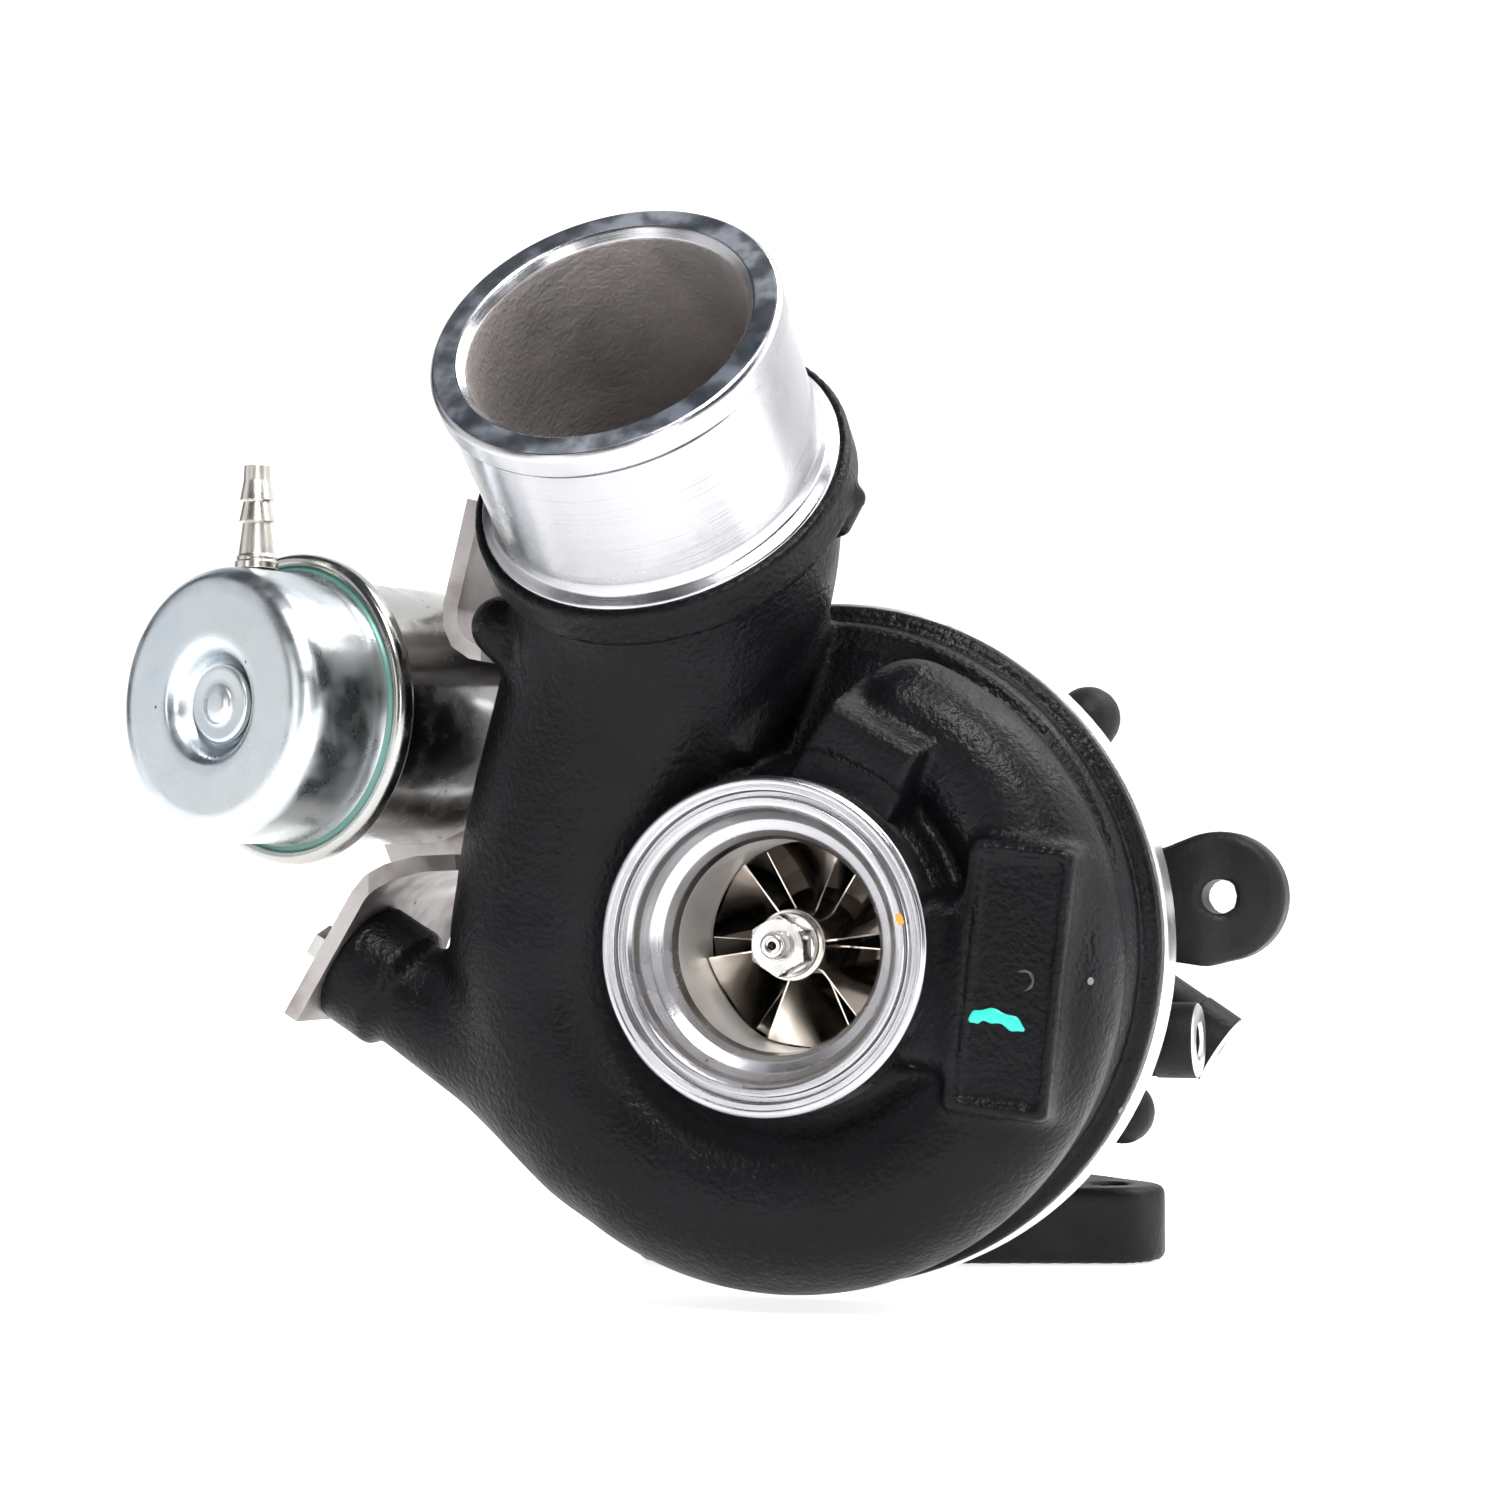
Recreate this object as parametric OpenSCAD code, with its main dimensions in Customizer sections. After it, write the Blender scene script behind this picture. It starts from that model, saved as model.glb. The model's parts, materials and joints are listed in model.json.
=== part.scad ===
/* [Frame] */
// Height of the shaft axis above the foot's bottom face
shaft_z = 75; // [72:1:80]
// Sideways offset of the shaft axis from the foot's bolt circle
shaft_x = 13; // [13:1:16]
// Distance from the foot's bolt circle forward to the inlet face
inlet_y = 144; // [144:1:148]

/* [Compressor] */
// Outer radius of the machined inlet boss
inlet_r = 34.25; // [33:0.25:35]
// Radius of the inlet bore that the wheel runs in
inlet_bore_r = 21.6; // [21.5:0.1:22]
// Tip radius of the wheel's inducer
inducer_r = 21.2; // [20.5:0.1:21.3]
// Tip radius of the wheel's exducer
exducer_r = 27; // [26:0.5:27.5]
// Full blades and splitter blades together
blade_count = 12; // [10:2:14]
// Radius of the bright seat ring behind the cover
seat_r = 73; // [72:0.5:74]
// Radius of the circle that the scroll's middle follows
scroll_r = 52; // [51:0.5:53]
// Outer radius of the outlet tube
outlet_r = 34.7; // [34:0.1:35.5]
// Radius of the outlet tube's passage
outlet_bore_r = 28.3; // [27:0.1:29]
// Length of the machined outlet tube
outlet_l = 40; // [38:1:42]

/* [Turbine] */
// Tip radius of the turbine wheel
turbine_r = 24; // [22:0.5:24]
// Circle diameter of the foot's three bolts
foot_pcd = 113; // [112:0.5:114]
// Thickness of the foot flange
foot_t = 17.5; // [16:0.5:18]
// Turn of the foot flange about the upright axis
foot_turn = 18.7; // [16:0.1:20]

/* [Actuator] */
// Radius of the can's rolled crimp
crimp_r = 34; // [33:0.5:34]
// Radius of the front can's side
can_r = 29.5; // [29:0.5:30]
// Angle between the actuator's axis and the shaft's axis
can_turn = 18.5; // [18:0.1:19]
// Travel of the actuator rod
rod_travel = 10; // [8:0.5:10]
// Distance from the lever spindle to the lever pin
lever_l = 30; // [30:0.5:31]

/* [Hidden] */
$fn = 64;
eps = 0.01;

// Stations along the shaft, counted back from the inlet face
seat_s = 47.5;
seat_t = 10;
flange_t = 6;
rear_s = seat_s + seat_t;
core_s = rear_s + flange_t;
hot_s = 108;
hot_t = 6;
wheel_nose_s = 20;
wheel_edge_s = 29;
wheel_back_s = 48;
scroll_s = 27;

// Radius of the circle that the cover's screws stand on
screw_circle_r = 64;
// Shaft and bearing sizes
journal_r = 4;
stub_r = 2.5;
bush_bore_r = 4.03;
bush_r = 6;
bush_seat_r = 6.05;
front_bush_s = 72;
rear_bush_s = 90;
bush_l = 9;

// Outlet tube: its mouth, and its direction out of the cover
mouth = [-21, -32.5, 119.7];
mouth_tilt = 52.3;
mouth_dir = [0, -sin(mouth_tilt), cos(mouth_tilt)];
root_p = mouth - outlet_l * mouth_dir;
neck_r = outlet_r + 5;

// Scroll: radius of its outside at the start and at the end of the spiral, and its wall
scroll_from = 62;
scroll_to = -180;
scroll_small = 13;
scroll_large = 24.5;
wall = 4.5;

// Actuator frame: centre of the crimp, from the inlet face's centre
can_p = [-113.2, 19.1, 50.8];
rear_can_l = 45;
pin_y = 146;
spindle_z = -sqrt(lever_l * lever_l - rod_travel * rod_travel / 4);
spindle_y = pin_y + rod_travel / 2;
lever_x = -9;
valve_x = 36;
valve_y = pin_y + 3;
valve_z = -12;
spindle_r = 4;

// ---- placing -------------------------------------------------------------------------------------------

// Children are drawn from the inlet face's centre: x right, y back along the shaft, z up
module from_inlet() {
    translate([shaft_x, -inlet_y, shaft_z]) children();
}

// Children are drawn along +z, which becomes the shaft's axis, from station s
module on_shaft(s = 0) {
    from_inlet() translate([0, s, 0]) rotate([-90, 0, 0]) children();
}

// Children are drawn in the actuator's frame: y runs back along the rod
module at_can() {
    from_inlet() translate(can_p) rotate([0, 0, -can_turn]) children();
}

// Children are drawn along +z, which becomes the rod's axis
module on_rod(y = 0) {
    at_can() translate([0, y, 0]) rotate([-90, 0, 0]) children();
}

// A round bar from point a to point b, with end radii
module bar(a, b, r1, r2) {
    d = b - a;
    translate(a)
        rotate([0, acos(d.z / norm(d)), atan2(d.y, d.x)])
            cylinder(r1 = r1, r2 = r2, h = norm(d));
}

// A ring of rectangular section
module ring(r_out, r_in, h) {
    difference() {
        cylinder(r = r_out, h = h);
        translate([0, 0, -1]) cylinder(r = r_in, h = h + 2);
    }
}

// A hexagon across the given flats
module hexagon(flats, h) {
    cylinder(d = flats / cos(30), h = h, $fn = 6);
}

// ---- swept tubes ---------------------------------------------------------------------------------------

// One ring of a tube: its middle, its radius, and the two directions that its circle lies in
function tube_ring(c, r, u, v, sides) =
    [for (k = [0:sides - 1]) c + r * (cos(360 * k / sides) * u + sin(360 * k / sides) * v)];

// A closed tube through a list of rings that have equal numbers of points
module loft(rings) {
    n = len(rings[0]);
    m = len(rings);
    sides = [for (i = [0:m - 2], k = [0:n - 1])
        [i * n + k, i * n + (k + 1) % n, (i + 1) * n + (k + 1) % n, (i + 1) * n + k]];
    first = [for (k = [n - 1:-1:0]) k];
    last = [for (k = [0:n - 1]) (m - 1) * n + k];
    polyhedron(points = [for (r = rings) each r], faces = concat(sides, [first, last]), convexity = 6);
}

// Rings of a scroll about the shaft, whose tube grows evenly from angle a0 to angle a1
function scroll_rings(s, rc, a0, a1, r0, r1, steps, sides) =
    [for (i = [0:steps])
        let (t = i / steps, a = a0 + (a1 - a0) * t, out = [cos(a), 0, sin(a)])
        tube_ring(rc * out + [0, s, 0], r0 + (r1 - r0) * t, out, [0, 1, 0], sides)];

// Point and direction on a cubic curve with four control points
function curve_at(p, t) = pow(1 - t, 3) * p[0] + 3 * t * pow(1 - t, 2) * p[1]
    + 3 * t * t * (1 - t) * p[2] + pow(t, 3) * p[3];
function curve_dir(p, t) = let (d = pow(1 - t, 2) * (p[1] - p[0]) + 2 * t * (1 - t) * (p[2] - p[1])
    + t * t * (p[3] - p[2])) d / norm(d);

// The cover's elbow runs from the scroll's end, up the left side, and forward to the tube's root
elbow = [[-scroll_r, scroll_s, 2], [-scroll_r, scroll_s, 46], root_p - 40 * mouth_dir, root_p];
function elbow_rings(r0, r1, steps, sides, past) =
    [for (i = [0:steps])
        let (t = i / steps, d = curve_dir(elbow, t), u0 = cross(d, [0, 1, 0]) * (1 - t) + [-1, 0, 0] * t,
            u1 = u0 - (u0 * d) * d, u = u1 / norm(u1), v = cross(u, d))
        tube_ring(curve_at(elbow, t) + (i == steps ? past : 0) * d, r0 + (r1 - r0) * t, u, v, sides)];

// The scroll and the elbow as one tube, "inset" inside its outer skin
module cover_tube(inset, past) {
    sides = 18;
    loft(concat(
        scroll_rings(scroll_s, scroll_r, scroll_from, scroll_to, scroll_small - inset, scroll_large - inset,
            18, sides),
        elbow_rings(scroll_large - inset, inset > 0 ? outlet_bore_r - 0.6 : neck_r - 0.6, 8, sides, past)));
}

// ---- compressor ----------------------------------------------------------------------------------------

// Cast arm that carries the bracket: where it leaves the scroll, and its flat end
arm_root = [-46, 27, -37.5];
arm_end = [-101, 27, -4];
arm_dir = (arm_end - arm_root) / norm(arm_end - arm_root);

// Lower left corner of the data-plate pad, and its lean
pad_p = [36, 6, -32];
pad_lean = 6.7;

module compressor_cover() {
    color([0.06, 0.06, 0.065]) difference() {
        union() {
            from_inlet() difference() {
                cover_tube(0, -1.5);
                translate([-120, seat_s, -120]) cube([240, 60, 300]);
            }
            // inlet boss, cone down to the scroll, and rim that seats on the backplate
            on_shaft() rotate_extrude() polygon([[10, 0], [33.2, 0], [inlet_r, 1.2], [inlet_r, 5.6],
                [inlet_r - 0.5, 6.4], [inlet_r - 0.5, 14], [36, 17], [40, 32], [66, 40], [68.6, 41.6],
                [72.3, 43.2], [72.3, seat_s], [10, seat_s]]);
            from_inlet() cover_tube_mouth();
            from_inlet() cover_features();
        }
        from_inlet() difference() {
            cover_tube(wall, 3);
            translate([-90, 42.6, -90]) cube([180, 60, 180]);
        }
        // passage of the outlet tube
        from_inlet() bar(root_p - 6 * mouth_dir, mouth + 1 * mouth_dir, outlet_bore_r, outlet_bore_r);
        // inlet bore, shroud over the wheel, and diffuser gap
        on_shaft() rotate_extrude() polygon([[0, -1], [30, -1], [30, 0], [29, 2], [27.6, 2], [26.6, 4.5],
            [24.2, 5.5], [inlet_bore_r, 10], [inlet_bore_r, 31], [22.6, 36], [24.6, 40], [27.8, 43.2],
            [46, 43.2], [46, seat_s + 1], [0, seat_s + 1]]);
        // groove in the inlet face
        on_shaft() rotate_extrude() polygon([[29.9, -1], [31.2, -1], [31.2, 2], [29.9, 2]]);
        // threaded holes for the screws that come through from behind
        for (a = [22.5:45:337.5])
            on_shaft(seat_s - 8) rotate([0, 0, a]) translate([screw_circle_r, 0, 0]) cylinder(r = 2.2, h = 9);
        // threaded holes at the arm's end for the bracket
        for (side = [-7, 7])
            from_inlet() bar(arm_end - 11 * arm_dir + [0, side, 0], arm_end + 1 * arm_dir + [0, side, 0], 2.5, 2.5);
    }
}

// Machined outlet tube with its lip and its shoulder ring
module cover_tube_mouth() {
    tip = mouth - 6 * mouth_dir;
    bar(root_p - 6 * mouth_dir, mouth - 1 * mouth_dir, outlet_r, outlet_r);
    bar(tip, mouth, outlet_r + 1, outlet_r + 1);
    bar(root_p - 4 * mouth_dir, root_p, neck_r, neck_r);
    bar(root_p - 1 * mouth_dir, root_p + 2.4 * mouth_dir, outlet_r + 2.6, outlet_r + 0.4);
}

// Cast arm for the bracket, data-plate pad, block over the inlet, webs and ribs
module cover_features() {
    bar(arm_root, arm_end - 5 * arm_dir, 14, 12);
    bar(arm_end - 13 * arm_dir, arm_end, 14, 14);
    translate([pad_p.x, pad_p.y, pad_p.z]) rotate([0, pad_lean, 0]) cube([22, 24, 53]);
    translate([28, 9, -24]) cube([12, 14, 34]);
    translate([4, 6, 36]) rotate([0, 24, 0]) cube([26, 20, 21.3]);
    translate([2, 9, 28]) rotate([0, 24, 0]) cube([22, 14, 12]);
    bar([-7, 15, 38], [3, 22, 63], 3.5, 3.5);
}

module cover_seal_ring() {
    color([0.1, 0.1, 0.1]) on_shaft(seat_s + 1.2) rotate_extrude() translate([56, 0]) circle(r = 1.15, $fn = 24);
}

module compressor_backplate() {
    color([0.85, 0.85, 0.87]) difference() {
        on_shaft(seat_s) rotate_extrude() polygon([[10.5, 1], [28, 1], [28, 0], [seat_r - 0.6, 0],
            [seat_r, 0.6], [seat_r, seat_t - 0.6], [seat_r - 0.6, seat_t], [10.5, seat_t]]);
        // groove for the seal ring
        on_shaft(seat_s) rotate_extrude() polygon([[54.5, -1], [57.5, -1], [57.5, 2.4], [54.5, 2.4]]);
        for (a = [22.5:45:337.5])
            on_shaft(seat_s - 1) rotate([0, 0, a]) translate([screw_circle_r, 0, 0]) cylinder(r = 2.7, h = seat_t + 2);
    }
}

// Eight socket screws from behind the centre housing's flange
module cover_screws() {
    color([0.3, 0.3, 0.32]) for (a = [22.5:45:337.5])
        on_shaft() rotate([0, 0, a]) translate([screw_circle_r, 0, 0]) difference() {
            union() {
                translate([0, 0, core_s]) cylinder(r = 4.5, h = 5);
                translate([0, 0, seat_s - 7]) cylinder(r = 2.2, h = core_s - seat_s + 7 + eps);
            }
            translate([0, 0, core_s + 2]) hexagon(4, 4);
        }
}

module compressor_wheel() {
    hub = [[stub_r + 0.02, wheel_nose_s], [7.5, wheel_nose_s], [7.5, 25], [8.4, 31], [10.6, 37], [15, 42.5],
        [21, 45.6], [exducer_r, 46.6], [exducer_r, wheel_back_s - 0.4], [10, wheel_back_s + 0.4],
        [8, wheel_back_s + 4], [stub_r + 0.02, wheel_back_s + 4]];
    color([0.66, 0.62, 0.58]) union() {
        on_shaft() rotate_extrude() polygon(hub);
        intersection() {
            on_shaft() rotate_extrude() polygon([[7, 26], [inducer_r, wheel_edge_s], [inducer_r, 31.4],
                [22.2, 36.2], [24.2, 40.4], [exducer_r, 43.6], [exducer_r, 47], [7, 47]]);
            on_shaft(25) for (k = [0:blade_count - 1])
                rotate([0, 0, 360 * k / blade_count])
                    translate([5, -0.45, k % 2 == 0 ? 0 : 9]) cube([24, 0.9, 24]);
        }
    }
}

// Flanged nut that clamps the wheel: a hexagon on a round washer face
module shaft_nut() {
    color([0.75, 0.73, 0.7]) difference() {
        union() {
            on_shaft(wheel_nose_s - 9) hexagon(11, 6);
            on_shaft(wheel_nose_s - 3) cylinder(r = 6.6, h = 3);
        }
        on_shaft(wheel_nose_s - 20) cylinder(r = stub_r, h = 30);
    }
}

// ---- bearings and seals --------------------------------------------------------------------------------

module oil_flinger() {
    s0 = wheel_back_s + 4;
    color([0.6, 0.6, 0.62]) on_shaft() rotate_extrude() polygon([[stub_r + 0.02, s0], [8, s0], [8, s0 + 1.4],
        [7, s0 + 1.4], [7, s0 + 3.2], [8, s0 + 3.2], [8, s0 + 7.5], [11.5, s0 + 8], [11.5, s0 + 9.4],
        [stub_r + 0.02, s0 + 9.4]]);
}

module thrust_collar() {
    s0 = wheel_back_s + 13.4;
    color([0.55, 0.55, 0.58]) on_shaft() rotate_extrude() polygon([[stub_r + 0.02, s0], [7, s0], [7, s0 + 3.6],
        [9.5, s0 + 3.6], [9.5, s0 + 6], [stub_r + 0.02, s0 + 6]]);
}

// Bronze thrust plate that the flinger and the collar run against
module thrust_bearing() {
    s0 = wheel_back_s + 13.5;
    color([0.72, 0.53, 0.25]) difference() {
        on_shaft(s0) ring(16, 7.06, 3.4);
        for (a = [0:60:300])
            on_shaft(s0 + 2.6) rotate([0, 0, a]) translate([8, -0.6, 0]) cube([6, 1.2, 2]);
        on_shaft(s0 - 1) translate([-5, 9.5, 0]) cube([10, 10, 6]);
    }
}

module oil_baffle() {
    color([0.5, 0.5, 0.52]) on_shaft() rotate_extrude() polygon([[8.05, wheel_back_s + 4.4],
        [10.4, wheel_back_s + 4.4], [10.4, rear_s + 0.05], [18, rear_s + 0.05], [18, rear_s + 1.6],
        [12.2, rear_s + 1.6], [12.2, rear_s + 0.8], [8.05, rear_s + 0.8]]);
}

module baffle_circlip() {
    color([0.2, 0.2, 0.22]) difference() {
        on_shaft(rear_s + 1.6) ring(18.6, 15.6, 1.2);
        on_shaft(rear_s + 1) translate([-4, 10, 0]) cube([8, 12, 3]);
    }
}

// A split piston ring with a small gap
module piston_ring(s, r_out, r_in, gap_turn) {
    difference() {
        on_shaft(s) ring(r_out, r_in, 1.4);
        on_shaft(s - 1) rotate([0, 0, gap_turn]) translate([0, -0.3, 0]) cube([r_out + 1, 0.6, 4]);
    }
}

module compressor_seal_ring() {
    color([0.35, 0.35, 0.37]) piston_ring(wheel_back_s + 5.6, 8.05, 7.15, 40);
}

module turbine_seal_ring() {
    color([0.35, 0.35, 0.37]) piston_ring(hot_s - 0.8, 8.6, 7.45, 200);
}

// A floating bush: a plain bronze sleeve with four oil holes
module bush(s) {
    color([0.75, 0.56, 0.28]) difference() {
        on_shaft(s) ring(bush_r, bush_bore_r, bush_l);
        for (a = [0, 90, 180, 270])
            on_shaft(s + bush_l / 2) rotate([0, 0, a]) rotate([0, 90, 0]) cylinder(r = 0.9, h = 8);
    }
}

module front_bush() {
    bush(front_bush_s);
}

module rear_bush() {
    bush(rear_bush_s);
}

// Three circlips that hold the bushes in their places along the shaft
module bush_circlips() {
    color([0.25, 0.25, 0.27])
        for (s = [front_bush_s + bush_l + 0.1, rear_bush_s - 1.1, rear_bush_s + bush_l + 0.1])
            difference() {
                on_shaft(s) ring(6.8, 4.7, 1);
                on_shaft(s - 1) translate([-1.2, 0, 0]) cube([2.4, 8, 3]);
            }
}

// ---- centre housing ------------------------------------------------------------------------------------

oil_s = 85.5;
lug_hole = [79, 79, 10];
port_a = [74, 78, -21];
port_b = [76, 95, -24];
port_b_tilt = 34;

module centre_housing() {
    color([0.08, 0.08, 0.085]) difference() {
        union() {
            on_shaft() rotate_extrude() polygon([[0, rear_s], [69.6, rear_s], [70.6, rear_s + 1],
                [70.6, core_s - 1], [69.6, core_s], [40, core_s], [30, 67], [26, 72], [26, 98], [28, 103],
                [30.8, hot_s], [38, hot_s], [38, hot_s + hot_t], [0, hot_s + hot_t]]);
            from_inlet() {
                // oil inlet boss, oil drain boss and its flange
                translate([0, oil_s, 0]) cylinder(r = 12, h = 36);
                translate([0, oil_s, -44]) cylinder(r = 14, h = 40);
                translate([-24, oil_s - 11, -46]) cube([48, 22, 8]);
                // lug with a through hole, and the arm that carries it
                translate([8, 74, -4]) cube([72, 10, 24]);
                translate([79, 74, 10]) rotate([-90, 0, 0]) cylinder(r = 14, h = 10);
                // two coolant ports
                bar([10, port_a.y + 4, -12], port_a - [20, 0, 0], 10, 9);
                bar(port_a - [22, 0, 0], port_a, 8.2, 8.2);
                bar([20, port_b.y - 4, -10], port_b - 24 * [cos(port_b_tilt), 0, -sin(port_b_tilt)], 9, 8.2);
                bar(port_b - 26 * [cos(port_b_tilt), 0, -sin(port_b_tilt)], port_b, 8.2, 8.2);
            }
        }
        // screw holes in the flange
        for (a = [22.5:45:337.5])
            on_shaft(rear_s - 1) rotate([0, 0, a]) translate([screw_circle_r, 0, 0]) cylinder(r = 2.7, h = flange_t + 2);
        // stepped bore: baffle and thrust plate, then bushes, then the turbine seal
        on_shaft() rotate_extrude() polygon([[0, rear_s - 1], [18.05, rear_s - 1], [18.05, rear_s + 1.6],
            [18.7, rear_s + 1.6], [18.7, rear_s + 2.8], [16.05, rear_s + 2.8], [16.05, 65], [11.6, 65],
            [11.6, 68], [bush_seat_r, 68], [bush_seat_r, 103], [9.2, 103], [9.2, hot_s - 2],
            [8.6, hot_s - 2], [8.6, hot_s + hot_t + 1], [0, hot_s + hot_t + 1]]);
        // grooves for the bush circlips
        for (s = [front_bush_s + bush_l + 0.1, rear_bush_s - 1.1, rear_bush_s + bush_l + 0.1])
            on_shaft(s) cylinder(r = 6.85, h = 1);
        from_inlet() {
            // oil gallery from above, drain below
            translate([0, oil_s, 22]) cylinder(r = 5.1, h = 20);
            translate([0, oil_s, 5]) cylinder(r = 1.6, h = 20);
            translate([0, oil_s, -50]) cylinder(r = 9, h = 48);
            for (x = [-18, 18])
                translate([x, oil_s, -50]) cylinder(r = 3.4, h = 14);
            translate([lug_hole.x, 70, lug_hole.z]) rotate([-90, 0, 0]) cylinder(r = 3.75, h = 20);
            bar(port_a - [16, 0, 0], port_a + [2, 0, 0], 3.4, 3.4);
            bar(port_b - 16 * [cos(port_b_tilt), 0, -sin(port_b_tilt)],
                port_b + 2 * [cos(port_b_tilt), 0, -sin(port_b_tilt)], 3.4, 3.4);
        }
        on_shaft(core_s) for (a = [22.5:45:337.5])
            rotate([0, 0, a]) translate([screw_circle_r, 0, 0]) cylinder(r = 5.2, h = 12);
    }
}

// ---- turbine -------------------------------------------------------------------------------------------

turbine_back_s = 119.5;
turbine_nose_s = 141;

// Turbine wheel friction-welded to its shaft: one piece from the nose to the threaded end
module turbine_wheel() {
    core = [[0, 10.5], [0.6, 10.5], [stub_r - 0.02, 11.6], [stub_r - 0.02, wheel_back_s + 19.4],
        [journal_r, wheel_back_s + 19.4], [journal_r, hot_s - 4.9], [8.5, hot_s - 4.4], [8.5, hot_s - 0.9],
        [7.35, hot_s - 0.9], [7.35, hot_s + 0.7], [8.5, hot_s + 0.7], [8.5, hot_s + 6], [9, hot_s + 8],
        [14, turbine_back_s - 3], [20, turbine_back_s - 2], [20, turbine_back_s - 0.6], [16, turbine_back_s + 4],
        [9.5, turbine_back_s + 12], [7, turbine_nose_s - 3], [5.2, turbine_nose_s + 3],
        [0, turbine_nose_s + 3]];
    color([0.45, 0.42, 0.4]) difference() {
        union() {
            on_shaft() rotate_extrude() polygon(core);
            intersection() {
                on_shaft() rotate_extrude() polygon([[6, turbine_back_s - 2.6], [turbine_r, turbine_back_s - 2.6],
                    [turbine_r, turbine_back_s + 4], [21.4, turbine_back_s + 9], [20.4, turbine_back_s + 14],
                    [20.4, turbine_nose_s], [6, turbine_nose_s]]);
                on_shaft(turbine_back_s - 3) for (k = [0:10])
                    rotate([0, 0, 360 * k / 11]) translate([5, -0.6, 0]) cube([22, 1.2, 32]);
            }
        }
        on_shaft(9) cylinder(r = 0.8, h = 4);
    }
}

module heat_shield() {
    color([0.6, 0.58, 0.55]) on_shaft() rotate_extrude() polygon([[10.2, hot_s + 6.4], [34, hot_s + 6.4],
        [34, hot_s + 7.2], [31, hot_s + 7.2], [11, hot_s + 7.2], [10.2, hot_s + 7.2]]);
}

// Triangular flange with three round lobes, straight front edge
module foot_plate(r_lobe, h) {
    hull() for (a = [90, 210, 330])
        rotate([0, 0, a]) translate([foot_pcd / 2, 0, 0]) cylinder(r = r_lobe, h = h, $fn = 32);
}

hot_scroll_s = 128;
plenum_s = 142;
plenum_l = 32;
valve_mid = [-31, 0, 38.8];

// Holes of the foot, and places of the four outlet bolts, across and up from the shaft
foot_hole_r = 4.5;
outlet_bolt_places = [[-38, -24], [38, -24], [-47, 64], [3, 64]];

// Outline of the outlet plenum: round about the shaft, stretched over the wastegate
module plenum(grow, h) {
    hull() {
        cylinder(r = 31 + grow, h = h, $fn = 32);
        translate([valve_mid.x, -valve_mid.z, 0]) cylinder(r = 19 + grow, h = h, $fn = 32);
    }
}

module turbine_housing() {
    color([0.1, 0.1, 0.105]) difference() {
        union() {
            // foot, neck and scroll
            rotate([0, 0, foot_turn]) foot_plate(13, foot_t);
            hull() {
                translate([0, 0, foot_t - 1]) cylinder(r = 29, h = 1, $fn = 32);
                translate([-18, -11, 58]) cylinder(r = 25, h = 1, $fn = 32);
            }
            from_inlet() loft(scroll_rings(hot_scroll_s, 42, 205, -120, 19.8, 12, 18, 16));
            // rim that the centre housing seats in, body, plenum and outlet flange
            on_shaft(hot_s + 2) cylinder(r = 46, h = 12);
            on_shaft(hot_s + 8) cylinder(r = 40, h = 34);
            on_shaft(plenum_s) plenum(6, plenum_l);
            on_shaft(plenum_s + plenum_l - 9) hull() {
                plenum(8, 9);
                for (p = outlet_bolt_places)
                    translate([p.x, -p.y, 0]) cylinder(r = 8, h = 9, $fn = 32);
            }
            // two stubby bosses on the side of the body
            from_inlet() bar([26, 119, 32], [41, 119, 52], 9, 7.5);
            from_inlet() bar([30, 119, -24], [49, 119, -40], 9, 7.5);
            // boss for the lever spindle
            at_can() translate([-4, spindle_y, spindle_z]) rotate([0, 90, 0]) cylinder(r = 9, h = 28);
        }
        // seat for the centre housing and the heat shield, then the wheel's shroud and outlet
        on_shaft() rotate_extrude() polygon([[0, hot_s - 1], [38.1, hot_s - 1], [38.1, hot_s + hot_t + 2],
            [34.4, hot_s + hot_t + 2], [34.4, hot_s + hot_t + 2.4], [0, hot_s + hot_t + 2.4]]);
        on_shaft() rotate_extrude() polygon([[0, hot_s], [30, hot_s], [30, turbine_back_s + 4.4],
            [24.4, turbine_back_s + 4.4], [21.8, turbine_back_s + 9], [20.8, turbine_back_s + 14],
            [20.8, plenum_s + 2], [24, plenum_s + 6.5], [0, plenum_s + 6.5]]);
        for (p = outlet_bolt_places)
            on_shaft(plenum_s + plenum_l - 10) translate([p.x, -p.y, 0]) cylinder(r = 3.4, h = 12);
        // gas passage through the foot, up into the scroll
        hull() {
            translate([0, 0, -1]) cylinder(r = 21, h = 1, $fn = 32);
            translate([-20, -11, 70]) cylinder(r = 19, h = 1, $fn = 32);
        }
        from_inlet() loft(scroll_rings(hot_scroll_s, 40, 195, -110, 15, 6, 16, 14));
        // outlet chamber, with a seat left standing square to the valve, and room for the lever's hub
        difference() {
            on_shaft(plenum_s + 6) plenum(0, plenum_l);
            on_wastegate() translate([0, 0, -20]) cylinder(r = 11.2, h = 19.95);
        }
        on_wastegate() translate([0, 0, -0.05]) cylinder(r = 12.6, h = 14);
        at_can() translate([valve_x - 7, spindle_y, spindle_z]) rotate([0, 90, 0]) cylinder(r = 7.6, h = 14);
        for (a = [30, 150, 270])
            on_shaft(hot_s) rotate([0, 0, a]) translate([42, 0, 0]) cylinder(r = 2.55, h = 8);
        // wastegate port, square to the valve
        at_can() translate([valve_x, valve_y - 22, valve_z]) rotate([-90, 0, 0]) cylinder(r = 8.5, h = 40);
        // bores
        at_can() translate([-10, spindle_y, spindle_z]) rotate([0, 90, 0]) cylinder(r = 6, h = 60);
        rotate([0, 0, foot_turn]) for (a = [90, 210, 330])
            rotate([0, 0, a]) translate([foot_pcd / 2, 0, -1]) cylinder(r = foot_hole_r, h = foot_t + 2);
    }
}

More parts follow.
